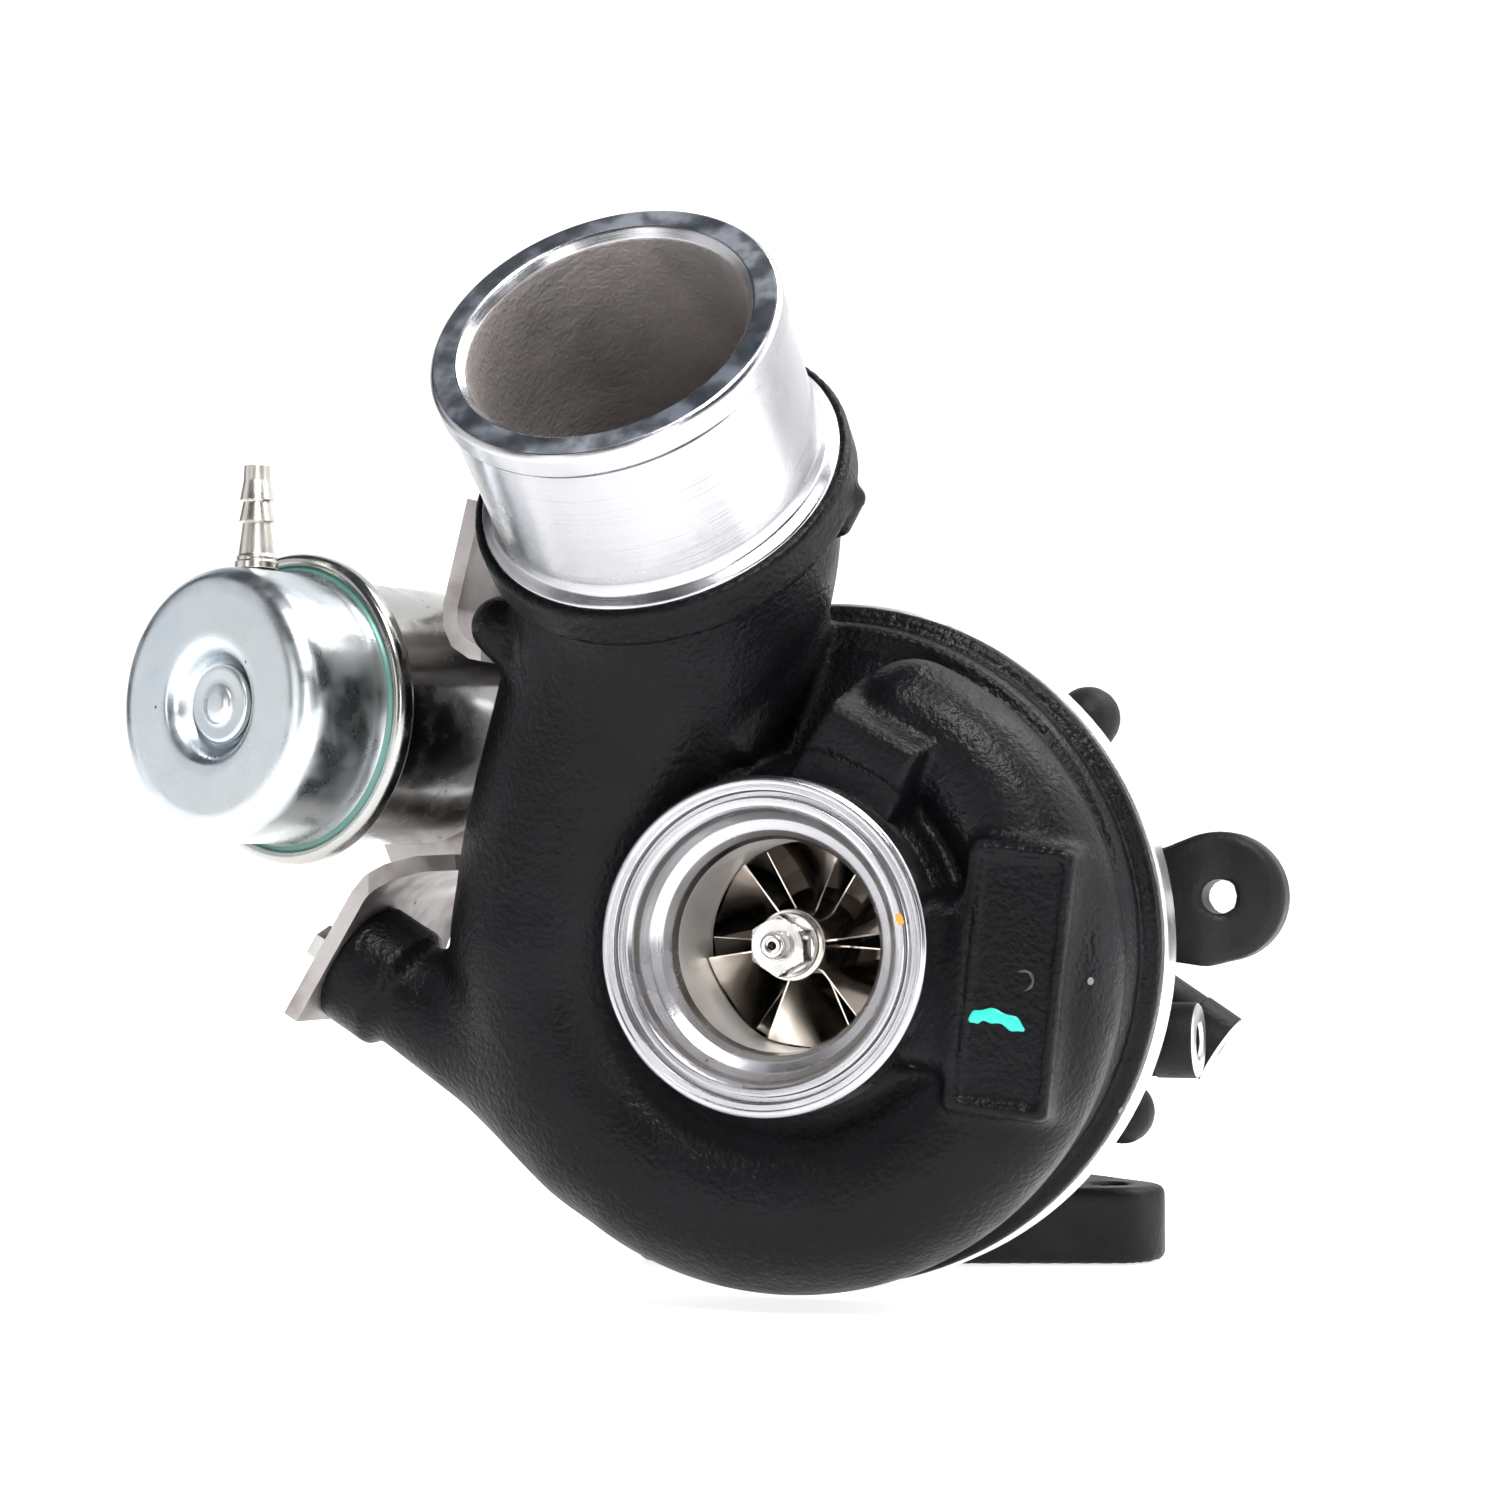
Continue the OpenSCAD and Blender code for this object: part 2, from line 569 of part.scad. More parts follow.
// Clamp plates that hold the centre housing's hot flange in the turbine housing
module clamp_plates() {
    color([0.5, 0.48, 0.45]) for (a = [30, 150, 270])
        difference() {
            on_shaft(hot_s - 4) rotate([0, 0, a]) intersection() {
                ring(46, 31, 4);
                translate([20, -14, -1]) cube([40, 28, 8]);
            }
            on_shaft(hot_s - 10) rotate([0, 0, a]) translate([42, 0, 0]) cylinder(r = 2.6, h = 20);
        }
}

module clamp_bolts() {
    color([0.55, 0.5, 0.42]) for (a = [30, 150, 270])
        on_shaft(hot_s - 4) rotate([0, 0, a]) translate([42, 0, 0]) {
            translate([0, 0, -4]) hexagon(8, 4);
            cylinder(r = 2.5, h = 6);
        }
}

// ---- wastegate -----------------------------------------------------------------------------------------

module wastegate_valve() {
    color([0.4, 0.38, 0.36]) on_wastegate() rotate_extrude() polygon([[0, 0], [10.5, 0], [11.5, 1], [11.5, 3],
        [6, 4], [3, 4.6], [3, 11], [0, 11]]);
}

// Children are drawn along the valve's own axis, from its seat face
module on_wastegate() {
    at_can() translate([valve_x, valve_y, valve_z]) rotate([-90, 0, 0]) children();
}

module valve_washer() {
    color([0.5, 0.48, 0.46]) on_wastegate() translate([0, 0, 9.7]) ring(5, 3.02, 1.2);
}

// Spindle with the arm that carries the valve
module inner_lever() {
    color([0.42, 0.4, 0.38]) difference() {
        at_can() {
            translate([lever_x - 4, spindle_y, spindle_z]) rotate([0, 90, 0])
                cylinder(r = spindle_r, h = valve_x - lever_x + 8);
            hull() {
                translate([valve_x - 6, spindle_y, spindle_z]) rotate([0, 90, 0])
                    cylinder(r = 6, h = 12, $fn = 32);
                translate([valve_x, valve_y + 5, valve_z]) rotate([-90, 0, 0])
                    cylinder(r = 6, h = 4.5, $fn = 32);
            }
        }
        on_wastegate() cylinder(r = 3.2, h = 20);
        on_wastegate() translate([0, 0, -6]) cylinder(r = 12.3, h = 10.9);
    }
}

module lever_bush() {
    color([0.35, 0.33, 0.3]) at_can() translate([-6, spindle_y, spindle_z]) rotate([0, 90, 0])
        ring(6, spindle_r + 0.05, 26);
}

// Outer lever: a flat arm welded to the spindle, with the pin's hole at its far end
module outer_lever() {
    color([0.4, 0.38, 0.36]) at_can() difference() {
        hull() {
            translate([lever_x - 2, spindle_y, spindle_z]) rotate([0, 90, 0])
                cylinder(r = 8, h = 4, $fn = 32);
            translate([lever_x - 2, pin_y, 0]) rotate([0, 90, 0]) cylinder(r = 6.5, h = 4, $fn = 32);
        }
        translate([lever_x - 3, spindle_y, spindle_z]) rotate([0, 90, 0]) cylinder(r = spindle_r, h = 8);
        translate([lever_x - 3, pin_y, 0]) rotate([0, 90, 0]) cylinder(r = 3, h = 8);
    }
}

module lever_pin() {
    color([0.6, 0.58, 0.55]) at_can() difference() {
        union() {
            translate([lever_x - 3.5, pin_y, 0]) rotate([0, 90, 0]) cylinder(r = 4.5, h = 1.5);
            translate([lever_x - 2, pin_y, 0]) rotate([0, 90, 0]) cylinder(r = 3, h = 17);
        }
        translate([lever_x + 12.2, pin_y, 0]) rotate([0, 90, 0]) ring(4, 2.4, 1);
    }
}

module pin_clip() {
    color([0.3, 0.3, 0.32]) at_can() difference() {
        translate([lever_x + 12.3, pin_y, 0]) rotate([0, 90, 0]) ring(5, 2.4, 0.8);
        translate([lever_x + 11.4, pin_y - 1.6, 0]) cube([3, 3.2, 8]);
    }
}

// ---- actuator ------------------------------------------------------------------------------------------

sheet = 1.4;

module front_can() {
    color([0.72, 0.73, 0.68]) difference() {
        on_rod() rotate_extrude() polygon([[5, -20.4], [9.2, -20.6], [12.4, -25], [14, -25.6], [25, -25.6], [28, -24.4],
            [can_r, -21.5], [can_r, -3], [31, -1.6], [crimp_r - 0.6, -1.6], [crimp_r, -1], [crimp_r, 1.4],
            [crimp_r - 0.6, 2], [crimp_r - 2, 2], [crimp_r - 2, 0], [29.5, 0], [can_r - sheet, -1.4],
            [can_r - sheet, -21], [27.4, -23], [25, -24.2], [14, -24.2], [12.9, -23.6], [9.8, -19.2], [5, -19]]);
        at_can() translate([0, -12, 20]) cylinder(r = 3, h = 20);
    }
}

// Rivet pressed in the dimple of the front can
module can_rivet() {
    color([0.75, 0.75, 0.7]) on_rod() rotate_extrude() polygon([[0, -24], [3.8, -23.6], [4.4, -22.8], [8, -22.6],
        [8.4, -22.2], [8.4, -20.7], [5, -20.7], [5, -18.2], [0, -18.2]]);
}

module hose_barb() {
    color([0.7, 0.68, 0.62]) at_can() translate([0, -12, 0]) difference() {
        rotate_extrude() polygon([[1.4, 26.5], [3, 26.5], [3, 29.6], [4.6, 30], [4.6, 32], [2.9, 33.5],
            [2.9, 39], [3.9, 40], [3, 44], [3.9, 44.4], [3, 48.4], [3.7, 48.8], [2.8, 52], [1.4, 52]]);
        cylinder(r = 1.4, h = 60);
    }
}

module rear_can() {
    color([0.6, 0.6, 0.56]) difference() {
        on_rod() rotate_extrude() polygon([[6, rear_can_l - sheet], [25, rear_can_l - sheet],
            [27.4, rear_can_l - 3.4], [29 - sheet, rear_can_l - 7], [29 - sheet, 3], [31.6, 1.6],
            [31.6, 1.5], [crimp_r - 2.1, 1.5], [crimp_r - 2.1, 2.6], [32, 3], [29, 4.6], [29, rear_can_l - 6],
            [27.2, rear_can_l - 2], [24.6, rear_can_l], [6, rear_can_l]]);
        for (x = [-16, 16])
            at_can() translate([x, rear_can_l - 4, 0]) rotate([-90, 0, 0]) cylinder(r = 3, h = 8);
    }
}

// Rubber diaphragm held in the crimp, with one convolution
module diaphragm() {
    color([0.12, 0.12, 0.12]) on_rod() rotate_extrude() polygon([[3.1, -3], [21, -3], [22, 2.4], [24.4, 4],
        [26.4, 2.4], [27, 0.2], [31.6, 0.2], [31.6, 1.4], [28, 1.4], [27.4, 3], [24.4, 5.2], [21, 3],
        [20, -1.8], [3.1, -1.8]]);
}

module piston_cup() {
    color([0.6, 0.6, 0.58]) on_rod() rotate_extrude() polygon([[3.02, -1.7], [19.8, -1.7], [19.8, 12], [18.8, 12],
        [18.8, -0.6], [3.02, -0.6]]);
}

spring_turns = 5;
spring_wire = 1.4;
spring_from = 1;
spring_to = rear_can_l - sheet - 5.4;

// Rings of a coil spring, as a sweep of a small circle along a helix
function spring_rings(r, steps, sides) =
    [for (i = [0:steps * spring_turns])
        let (a = 360 * i / steps, t = i / (steps * spring_turns), out = [cos(a), 0, sin(a)])
        tube_ring(r * out + [0, spring_from + (spring_to - spring_from) * t, 0], spring_wire, out, [0, 1, 0],
            sides)];

module actuator_spring() {
    color([0.45, 0.45, 0.48]) at_can() loft(spring_rings(16, 16, 6));
}

rod_l = 122;

module actuator_rod() {
    color([0.62, 0.6, 0.55]) on_rod() {
        translate([0, 0, -5]) cylinder(r = 3, h = rod_l + 5);
        translate([0, 0, -7]) cylinder(r = 5.5, h = 4);
    }
}

module rod_gland() {
    color([0.15, 0.15, 0.15]) on_rod() rotate_extrude() polygon([[3.06, rear_can_l - 4], [9, rear_can_l - 4],
        [9, rear_can_l - sheet - 0.05], [5.9, rear_can_l - sheet - 0.05], [5.9, rear_can_l + 4.5],
        [3.06, rear_can_l + 4.5]]);
}

module rod_locknut() {
    color([0.6, 0.6, 0.58]) on_rod(rod_l - 12) difference() {
        hexagon(10, 5);
        translate([0, 0, -1]) cylinder(r = 3.02, h = 8);
    }
}

// Rod end: a threaded shank with an eye that takes the lever pin with play
module rod_end() {
    color([0.55, 0.54, 0.5]) difference() {
        at_can() {
            translate([0, rod_l - 7, 0]) rotate([-90, 0, 0]) cylinder(r = 5, h = 20);
            translate([-3, pin_y, 0]) rotate([0, 90, 0]) cylinder(r = 8, h = 6);
            translate([-3, rod_l + 8, -5]) cube([6, pin_y - rod_l - 8, 10]);
        }
        on_rod(rod_l - 8) cylinder(r = 3.02, h = 8.5);
        at_can() translate([-20, pin_y, 0]) rotate([0, 90, 0]) cylinder(r = 3.6, h = 40);
    }
}

plate_t = 3.5;
plate_y = rear_can_l + 0.1;

module can_studs() {
    color([0.6, 0.6, 0.55]) for (x = [-16, 16])
        at_can() translate([x, rear_can_l - 5, 0]) rotate([-90, 0, 0]) {
            cylinder(r = 2.95, h = 20);
            cylinder(r = 4.5, h = 2.6);
        }
}

module can_nuts() {
    color([0.6, 0.6, 0.55]) for (x = [-16, 16])
        on_rod(plate_y + plate_t) translate([x, 0, 0]) difference() {
            hexagon(10, 5);
            translate([0, 0, -1]) cylinder(r = 2.97, h = 8);
        }
}

// A bent strip: a plate of even thickness whose edge follows the given points, drawn in the x-z plane
function unit(v) = v / norm(v);
function strip_side(path, t) = [for (i = [0:len(path) - 1])
    let (a = unit(path[min(i + 1, len(path) - 1)] - path[max(i - 1, 0)])) path[i] + t * [-a.y, a.x]];
module strip(path, from, to) {
    translate([0, to, 0]) rotate([90, 0, 0]) linear_extrude(to - from)
        polygon(concat(strip_side(path, plate_t / 2), strip_side(path, -plate_t / 2)),
            paths = [concat([for (i = [0:len(path) - 1]) i], [for (i = [len(path) - 1:-1:0]) len(path) + i])]);
}

foot_point = arm_end + plate_t / 2 * arm_dir;
foot_down = [arm_dir.z, -arm_dir.x] * -1;
lower_tongue = [[-78, 17.4], [-84, 17], [-88.5, 15.4], [-92, 12.9], [foot_point.x, foot_point.z] - 15.5 * foot_down,
    [foot_point.x, foot_point.z], [foot_point.x, foot_point.z] + 15 * foot_down];
upper_tongue = [[-67, 61.6], [-70, 62.2], [-73.4, 64.4], [-75, 68], [-75, 72], [-69.5, 94.5]];

// Bent steel plate: a face behind the can, one tongue beside the outlet neck and one down to the cover's arm
module actuator_bracket() {
    color([0.5, 0.48, 0.46]) difference() {
        union() {
            at_can() translate([0, plate_y, 0]) rotate([-90, 0, 0]) linear_extrude(plate_t)
                polygon([[-26, -20], [-12, -31], [4, -28], [22, -50], [36, -50], [36, -8], [28, 10],
                    [26, 33], [7, 38], [-9, 70], [-18, 70], [-14, 34], [-26, 12]]);
            difference() {
                from_inlet() {
                    strip(lower_tongue, 12, 76);
                    strip(upper_tongue, 16, 76);
                }
                at_can() translate([-60, plate_y + plate_t, -100]) cube([120, 60, 200]);
                from_inlet() translate([-92, 12, 8]) rotate([0, 0, 45]) translate([0, -40, 0]) cube([60, 40, 14]);
            }
        }
        on_rod(plate_y - 1) cylinder(r = 6.2, h = 8);
        for (x = [-16, 16])
            on_rod(plate_y - 1) translate([x, 0, 0]) cylinder(r = 3.2, h = 8);
        for (side = [-7, 7])
            from_inlet() bar(arm_end - 3 * arm_dir + [0, side, 0], arm_end + 8 * arm_dir + [0, side, 0], 3.2, 3.2);
        // room for the elbow's side
        from_inlet() translate([-34.8, 23, 55]) cylinder(r = 33.8, h = 12);
    }
}

module bracket_bolts() {
    color([0.5, 0.5, 0.48]) for (side = [-7, 7])
        from_inlet() translate([0, side, 0]) {
            bar(arm_end - 10 * arm_dir, arm_end + (plate_t + 1) * arm_dir, 2.5, 2.5);
            translate(arm_end + plate_t * arm_dir) rotate([0, -acos(arm_dir.z), 0]) hexagon(8, 4);
        }
}

compressor_cover();
cover_seal_ring();
compressor_backplate();
cover_screws();
compressor_wheel();
shaft_nut();
oil_flinger();
thrust_collar();
thrust_bearing();
oil_baffle();
baffle_circlip();
compressor_seal_ring();
front_bush();
rear_bush();
bush_circlips();
centre_housing();
turbine_seal_ring();
turbine_wheel();
heat_shield();
turbine_housing();
clamp_plates();
clamp_bolts();
wastegate_valve();
valve_washer();
inner_lever();
lever_bush();
outer_lever();
lever_pin();
pin_clip();
front_can();
can_rivet();
hose_barb();
rear_can();
diaphragm();
piston_cup();
actuator_spring();
actuator_rod();
rod_gland();
rod_locknut();
rod_end();
can_studs();
can_nuts();
actuator_bracket();
bracket_bolts();
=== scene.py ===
import json
from itertools import product

import bmesh
import bpy
import numpy as np
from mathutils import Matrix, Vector


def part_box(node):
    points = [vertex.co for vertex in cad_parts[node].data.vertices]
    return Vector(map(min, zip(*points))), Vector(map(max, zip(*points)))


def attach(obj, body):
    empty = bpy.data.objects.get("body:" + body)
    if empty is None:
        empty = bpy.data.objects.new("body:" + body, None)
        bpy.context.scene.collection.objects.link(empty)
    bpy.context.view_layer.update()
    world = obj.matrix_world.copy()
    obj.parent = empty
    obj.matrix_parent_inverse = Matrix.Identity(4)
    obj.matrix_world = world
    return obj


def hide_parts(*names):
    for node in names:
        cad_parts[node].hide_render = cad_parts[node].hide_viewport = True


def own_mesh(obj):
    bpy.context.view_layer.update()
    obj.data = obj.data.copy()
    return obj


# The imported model. Lengths below are in millimetres from the centre of the compressor's inlet face:
# x to the right, y back along the shaft, z up. The bright seat ring gives the shaft's axis and that face.
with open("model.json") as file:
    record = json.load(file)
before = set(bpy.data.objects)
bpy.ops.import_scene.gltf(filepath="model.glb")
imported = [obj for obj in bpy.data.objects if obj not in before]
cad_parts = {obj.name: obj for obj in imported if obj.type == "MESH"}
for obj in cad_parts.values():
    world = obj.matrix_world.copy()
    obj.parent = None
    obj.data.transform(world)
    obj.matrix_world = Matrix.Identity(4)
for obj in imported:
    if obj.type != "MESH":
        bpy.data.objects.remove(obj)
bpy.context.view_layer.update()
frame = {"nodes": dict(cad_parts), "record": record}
ring_low, ring_high = (np.array(corner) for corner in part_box("compressor_backplate"))
inlet = np.array([(ring_low[0] + ring_high[0]) / 2, ring_low[1] - 0.0475, (ring_low[2] + ring_high[2]) / 2])


def at(points):
    """Points in millimetres from the inlet face's centre, as metres in the frame."""
    return inlet + np.asarray(points, float) / 1000


# Camera: a long lens in front of the inlet, a little to its right and looking very slightly up.
lens = bpy.data.cameras.new("camera")
lens.lens = 72
lens.sensor_width = 36
lens.clip_end = 20
camera = bpy.data.objects.new("camera", lens)
camera.location = at((190.5, -568.2, 9.4))
camera.rotation_euler = Vector((-0.3205, 0.9459, 0.0497)).to_track_quat("-Z", "Y").to_euler()
bpy.context.scene.collection.objects.link(camera)
bpy.context.scene.camera = camera

# Floor: a white sweep that lies flat under the turbocharger and curves up far behind it, as in a
# photographer's studio. Soft boxes stand left, right, overhead and in front.
bend = np.linspace(0, np.pi / 2, 24)
sweep = np.concatenate([[(-1.0, 0)], np.stack([1.6 + np.sin(bend), 1 - np.cos(bend)], 1), [(2.6, 4)]])
sides = np.array([-5.0, 5.0])
points = np.stack([np.tile(sides, len(sweep)), np.repeat(sweep[:, 0], 2), np.repeat(sweep[:, 1], 2) - 0.0004],
    1)
start = np.arange(0, 2 * len(sweep) - 2, 2)
sheet = bpy.data.meshes.new("sweep")
sheet.from_pydata(points.tolist(), [], np.stack([start, start + 1, start + 3, start + 2], 1).tolist())
sheet.shade_smooth()
floor = bpy.data.objects.new("sweep", sheet)
bpy.context.scene.collection.objects.link(floor)
white = bpy.data.materials.new("white_sweep")
white.use_nodes = True
shader = white.node_tree.nodes["Principled BSDF"]
shader.inputs["Base Color"].default_value = (0.86, 0.86, 0.87, 1)
shader.inputs["Roughness"].default_value = 0.8
shader.inputs["Specular IOR Level"].default_value = 0.1
shader.inputs["Emission Color"].default_value = (1, 1, 1, 1)
shader.inputs["Emission Strength"].default_value = 0.8
sheet.materials.append(white)

for name, place, target, size, power in [("left_box", (-1.25, -0.62, 0.42), (-0.1, -0.1, 0.1), (1.0, 1.3), 3.9),
        ("front_left_box", (-0.62, -1.45, 0.10), (0.0, -0.1, 0.1), (0.35, 0.9), 2.8),
        ("right_box", (0.95, 0.05, 0.35), (0.0, -0.1, 0.1), (0.40, 0.9), 5),
        ("top_box", (0.50, 0.20, 1.0), (0.0, -0.1, 0.1), (0.7, 0.7), 11),
        ("front_box", (0.34, -0.80, 0.95), (0.0, -0.1, 0.1), (0.42, 0.42), 15),
        ("low_right_box", (0.55, -1.30, 0.12), (0.0, -0.1, 0.1), (0.30, 0.50), 3)]:
    light = bpy.data.lights.new(name, "AREA")
    light.shape = "RECTANGLE"
    light.size, light.size_y = size
    light.energy = power
    lamp = bpy.data.objects.new(name, light)
    lamp.location = place
    lamp.rotation_euler = (Vector(target) - Vector(place)).to_track_quat("-Z", "Y").to_euler()
    bpy.context.scene.collection.objects.link(lamp)
room = bpy.data.worlds.new("room")
room.use_nodes = True
room.node_tree.nodes["Background"].inputs["Color"].default_value = (0.85, 0.9, 1, 1)
room.node_tree.nodes["Background"].inputs["Strength"].default_value = 0.09
bpy.context.scene.world = room
bpy.context.scene.view_settings.view_transform = "Standard"

# ---- Compressor cover ----
# One sand casting in aluminium, coated satin black: the scroll that grows round the shaft, the elbow that
# takes it up and forward to the outlet, the arm and the lug for the bracket, and the pad for a plate.


def melt(a, b, k):
    """The nearer of two surfaces, with a fillet about k wide where they meet."""
    h = np.clip(0.5 + 0.5 * (b - a) / k, 0, 1)
    return b + (a - b) * h - k * h * (1 - h)


def carve(body, tool, k=0.6):
    """A body with a tool's shape taken out of it, its new edge rounded over about k."""
    return -melt(-body, tool, k)


def rod_shape(p, a, b, ra, rb):
    """Distance to a round bar from a to b: distance to the nearest point on the line, less the radius there."""
    a, b = np.array(a, np.float32), np.array(b, np.float32)
    t = np.clip((p - a) @ (b - a) / ((b - a) @ (b - a)), 0, 1)
    return np.linalg.norm(p - a - t[:, None] * (b - a), axis=1) - (ra + (rb - ra) * t)


def disc_shape(p, a, b, r, soft=1.0):
    """Distance to a flat-ended cylinder from a to b with softened rims."""
    a, b = np.array(a, np.float32), np.array(b, np.float32)
    length = np.linalg.norm(b - a)
    along = (p - a) @ (b - a) / length
    out = np.sqrt(np.maximum(((p - a) ** 2).sum(1) - along ** 2, 0))
    dx, dy = out - r + soft, np.abs(along - length / 2) - length / 2 + soft
    return np.hypot(np.maximum(dx, 0), np.maximum(dy, 0)) + np.minimum(np.maximum(dx, dy), 0) - soft


def web_shape(p, a, b, c, r):
    """Distance to a flat web: distance to the triangle a, b, c, less half the web's thickness."""
    a, b, c = (np.array(v, np.float32) for v in (a, b, c))
    n = np.cross(b - a, c - a)
    n /= np.linalg.norm(n)
    flat = np.abs((p - a) @ n)
    inside = np.ones(len(p), bool)
    edge = np.full(len(p), 1e9, np.float32)
    for u, v in ((a, b), (b, c), (c, a)):
        inside &= (p - u) @ np.cross(n, v - u) >= 0
        edge = np.minimum(edge, rod_shape(p, u, v, 0, 0))
    return np.where(inside, flat, edge) - r


def block_shape(p, centre, half, turn, soft):
    """Distance to a box with rounded edges, turned about the shaft's direction by an angle in degrees."""
    c, s = np.cos(np.radians(turn)), np.sin(np.radians(turn))
    q = p - np.array(centre, np.float32)
    q = np.abs(np.stack([c * q[:, 0] - s * q[:, 2], q[:, 1], s * q[:, 0] + c * q[:, 2]], 1))
    q -= np.array(half, np.float32) - soft
    return np.linalg.norm(np.maximum(q, 0), axis=1) + np.minimum(q.max(1), 0) - soft


def lathe_shape(p, outline):
    """Signed distance to a closed outline of (radius, station) corners spun round the shaft."""
    r, s = np.hypot(p[:, 0], p[:, 2]), p[:, 1]
    best = np.full(len(p), 1e9, np.float32)
    inside = np.zeros(len(p), bool)
    for (r0, s0), (r1, s1) in zip(outline, outline[1:] + outline[:1]):
        t = np.clip(((r - r0) * (r1 - r0) + (s - s0) * (s1 - s0)) / ((r1 - r0) ** 2 + (s1 - s0) ** 2), 0, 1)
        best = np.minimum(best, np.hypot(r - r0 - t * (r1 - r0), s - s0 - t * (s1 - s0)))
        if s0 != s1:
            inside ^= ((s0 > s) != (s1 > s)) & (r < r0 + (s - s0) * (r1 - r0) / (s1 - s0))
    return np.where(inside, -best, best)


def scroll_shape(p, station, middle, start, sweep, small, large):
    """Distance to a tube coiled round the shaft, clockwise from the start angle, whose radius grows evenly."""
    out, turned = np.hypot(p[:, 0], p[:, 2]), (start - np.degrees(np.arctan2(p[:, 2], p[:, 0]))) % 360 / sweep
    tube = np.hypot(out - middle, p[:, 1] - station) - (small + (large - small) * turned)
    ends = [np.linalg.norm(p - np.array([middle * np.cos(a), station, middle * np.sin(a)], np.float32),
        axis=1) - r for a, r in ((np.radians(start), small), (np.radians(start - sweep), large))]
    return np.where(turned <= 1, tube, np.minimum(*ends))


def curve_point(ends, t):
    """Point on a cubic curve with four control points, and its first and second derivatives."""
    a, b, c, d = (np.array(v, np.float32) for v in ends)
    t = t[:, None]
    u = 1 - t
    return (u ** 3 * a + 3 * t * u * u * b + 3 * t * t * u * c + t ** 3 * d,
        3 * (u * u * (b - a) + 2 * t * u * (c - b) + t * t * (d - c)),
        6 * (u * (c - 2 * b + a) + t * (d - 2 * c + b)))


def elbow_shape(p, ends, small, large):
    """Distance to a bent tube: the nearest point on a cubic curve, by samples and then Newton's method, less the
    radius there."""
    samples = np.linspace(0, 1, 17, dtype=np.float32)
    marks = curve_point(ends, samples)[0]
    t = samples[np.argmin(np.stack([((p - m) ** 2).sum(1) for m in marks]), 0)]
    for _ in range(3):
        c, d, e = curve_point(ends, t)
        gap = c - p
        t = np.clip(t - (gap * d).sum(1) / np.maximum((d * d).sum(1) + (gap * e).sum(1), 40), 0, 1)
    return np.linalg.norm(curve_point(ends, t)[0] - p, axis=1) - (small + (large - small) * t)


def cast_surface(shape, low, high, step):
    """Surface where shape(points) is zero. The shape is sampled on a cubic grid, with one vertex for each cell that
    the surface crosses and one quad for each grid edge that it crosses; Newton steps then set vertices on it."""
    count = (np.ceil((np.array(high) - low) / step / 4) * 4).astype(int)
    axes = [low[i] + step * np.arange(count[i], dtype=np.float32) for i in range(3)]
    rough = [a.reshape(-1, 4).mean(1) for a in axes]
    coarse = shape(np.stack(np.meshgrid(*rough, indexing="ij"), -1).reshape(-1, 3)).reshape(count // 4)
    field = coarse.astype(np.float32)
    for i in range(3):
        field = np.repeat(field, 4, i)
    near = np.argwhere(np.abs(field) < 6 * step)
    spots = np.stack([axes[i][near[:, i]] for i in range(3)], 1)
    field[tuple(near.T)] = np.concatenate([shape(part) for part in np.array_split(spots,
        len(spots) // 150000 + 1)])
    inside = field < 0
    cells = np.array(inside.shape) - 1
    corners = [tuple(slice(c, n + c) for c, n in zip(corner, cells)) for corner in product((0, 1), repeat=3)]
    filled = sum(inside[c].astype(np.int8) for c in corners)
    active = (filled > 0) & (filled < 8)
    number = np.full(active.shape, -1)
    number[active] = np.arange(active.sum())
    where = np.argwhere(active)
    total, crossed = np.zeros((len(where), 3)), np.zeros(len(where))
    for a, b in [(a, b) for a in product((0, 1), repeat=3) for b in product((0, 1), repeat=3)
            if sum(b) - sum(a) == 1 and all(y >= x for x, y in zip(a, b))]:
        fa, fb = field[tuple((where + a).T)], field[tuple((where + b).T)]
        hit = (fa < 0) != (fb < 0)
        t = np.where(hit, fa / np.where(hit, fa - fb, 1), 0)
        total += hit[:, None] * (np.array(a) + t[:, None] * (np.array(b) - np.array(a)))
        crossed += hit
    vertices = ((where + total / crossed[:, None]) * step + np.array(low)).astype(np.float32)
    quads = []
    for axis in range(3):
        order = (axis, (axis + 1) % 3, (axis + 2) % 3)
        solid, cell = inside.transpose(order), number.transpose(order)
        change = solid[:-1, 1:-1, 1:-1].astype(np.int8) - solid[1:, 1:-1, 1:-1]
        i, j, k = np.nonzero(change)
        quad = np.stack([cell[i, j, k], cell[i, j + 1, k], cell[i, j + 1, k + 1], cell[i, j, k + 1]], 1)
        quads.append(np.where((change[i, j, k] > 0)[:, None], quad, quad[:, ::-1]))
    reach = 0.12
    tips = np.array([(1, 1, 1), (1, -1, -1), (-1, 1, -1), (-1, -1, 1)], np.float32)
    for _ in range(3):
        sample = np.stack([shape(vertices + reach * tip) for tip in tips], 1)
        slope = sample @ tips / (4 * reach)
        value = sample.mean(1)
        push = slope * (value / np.maximum((slope ** 2).sum(1), 0.2))[:, None]
        length = np.linalg.norm(push, axis=1, keepdims=True)
        vertices -= push * np.minimum(1, 0.5 * step / np.maximum(length, 1e-6))
    return vertices, np.concatenate(quads)


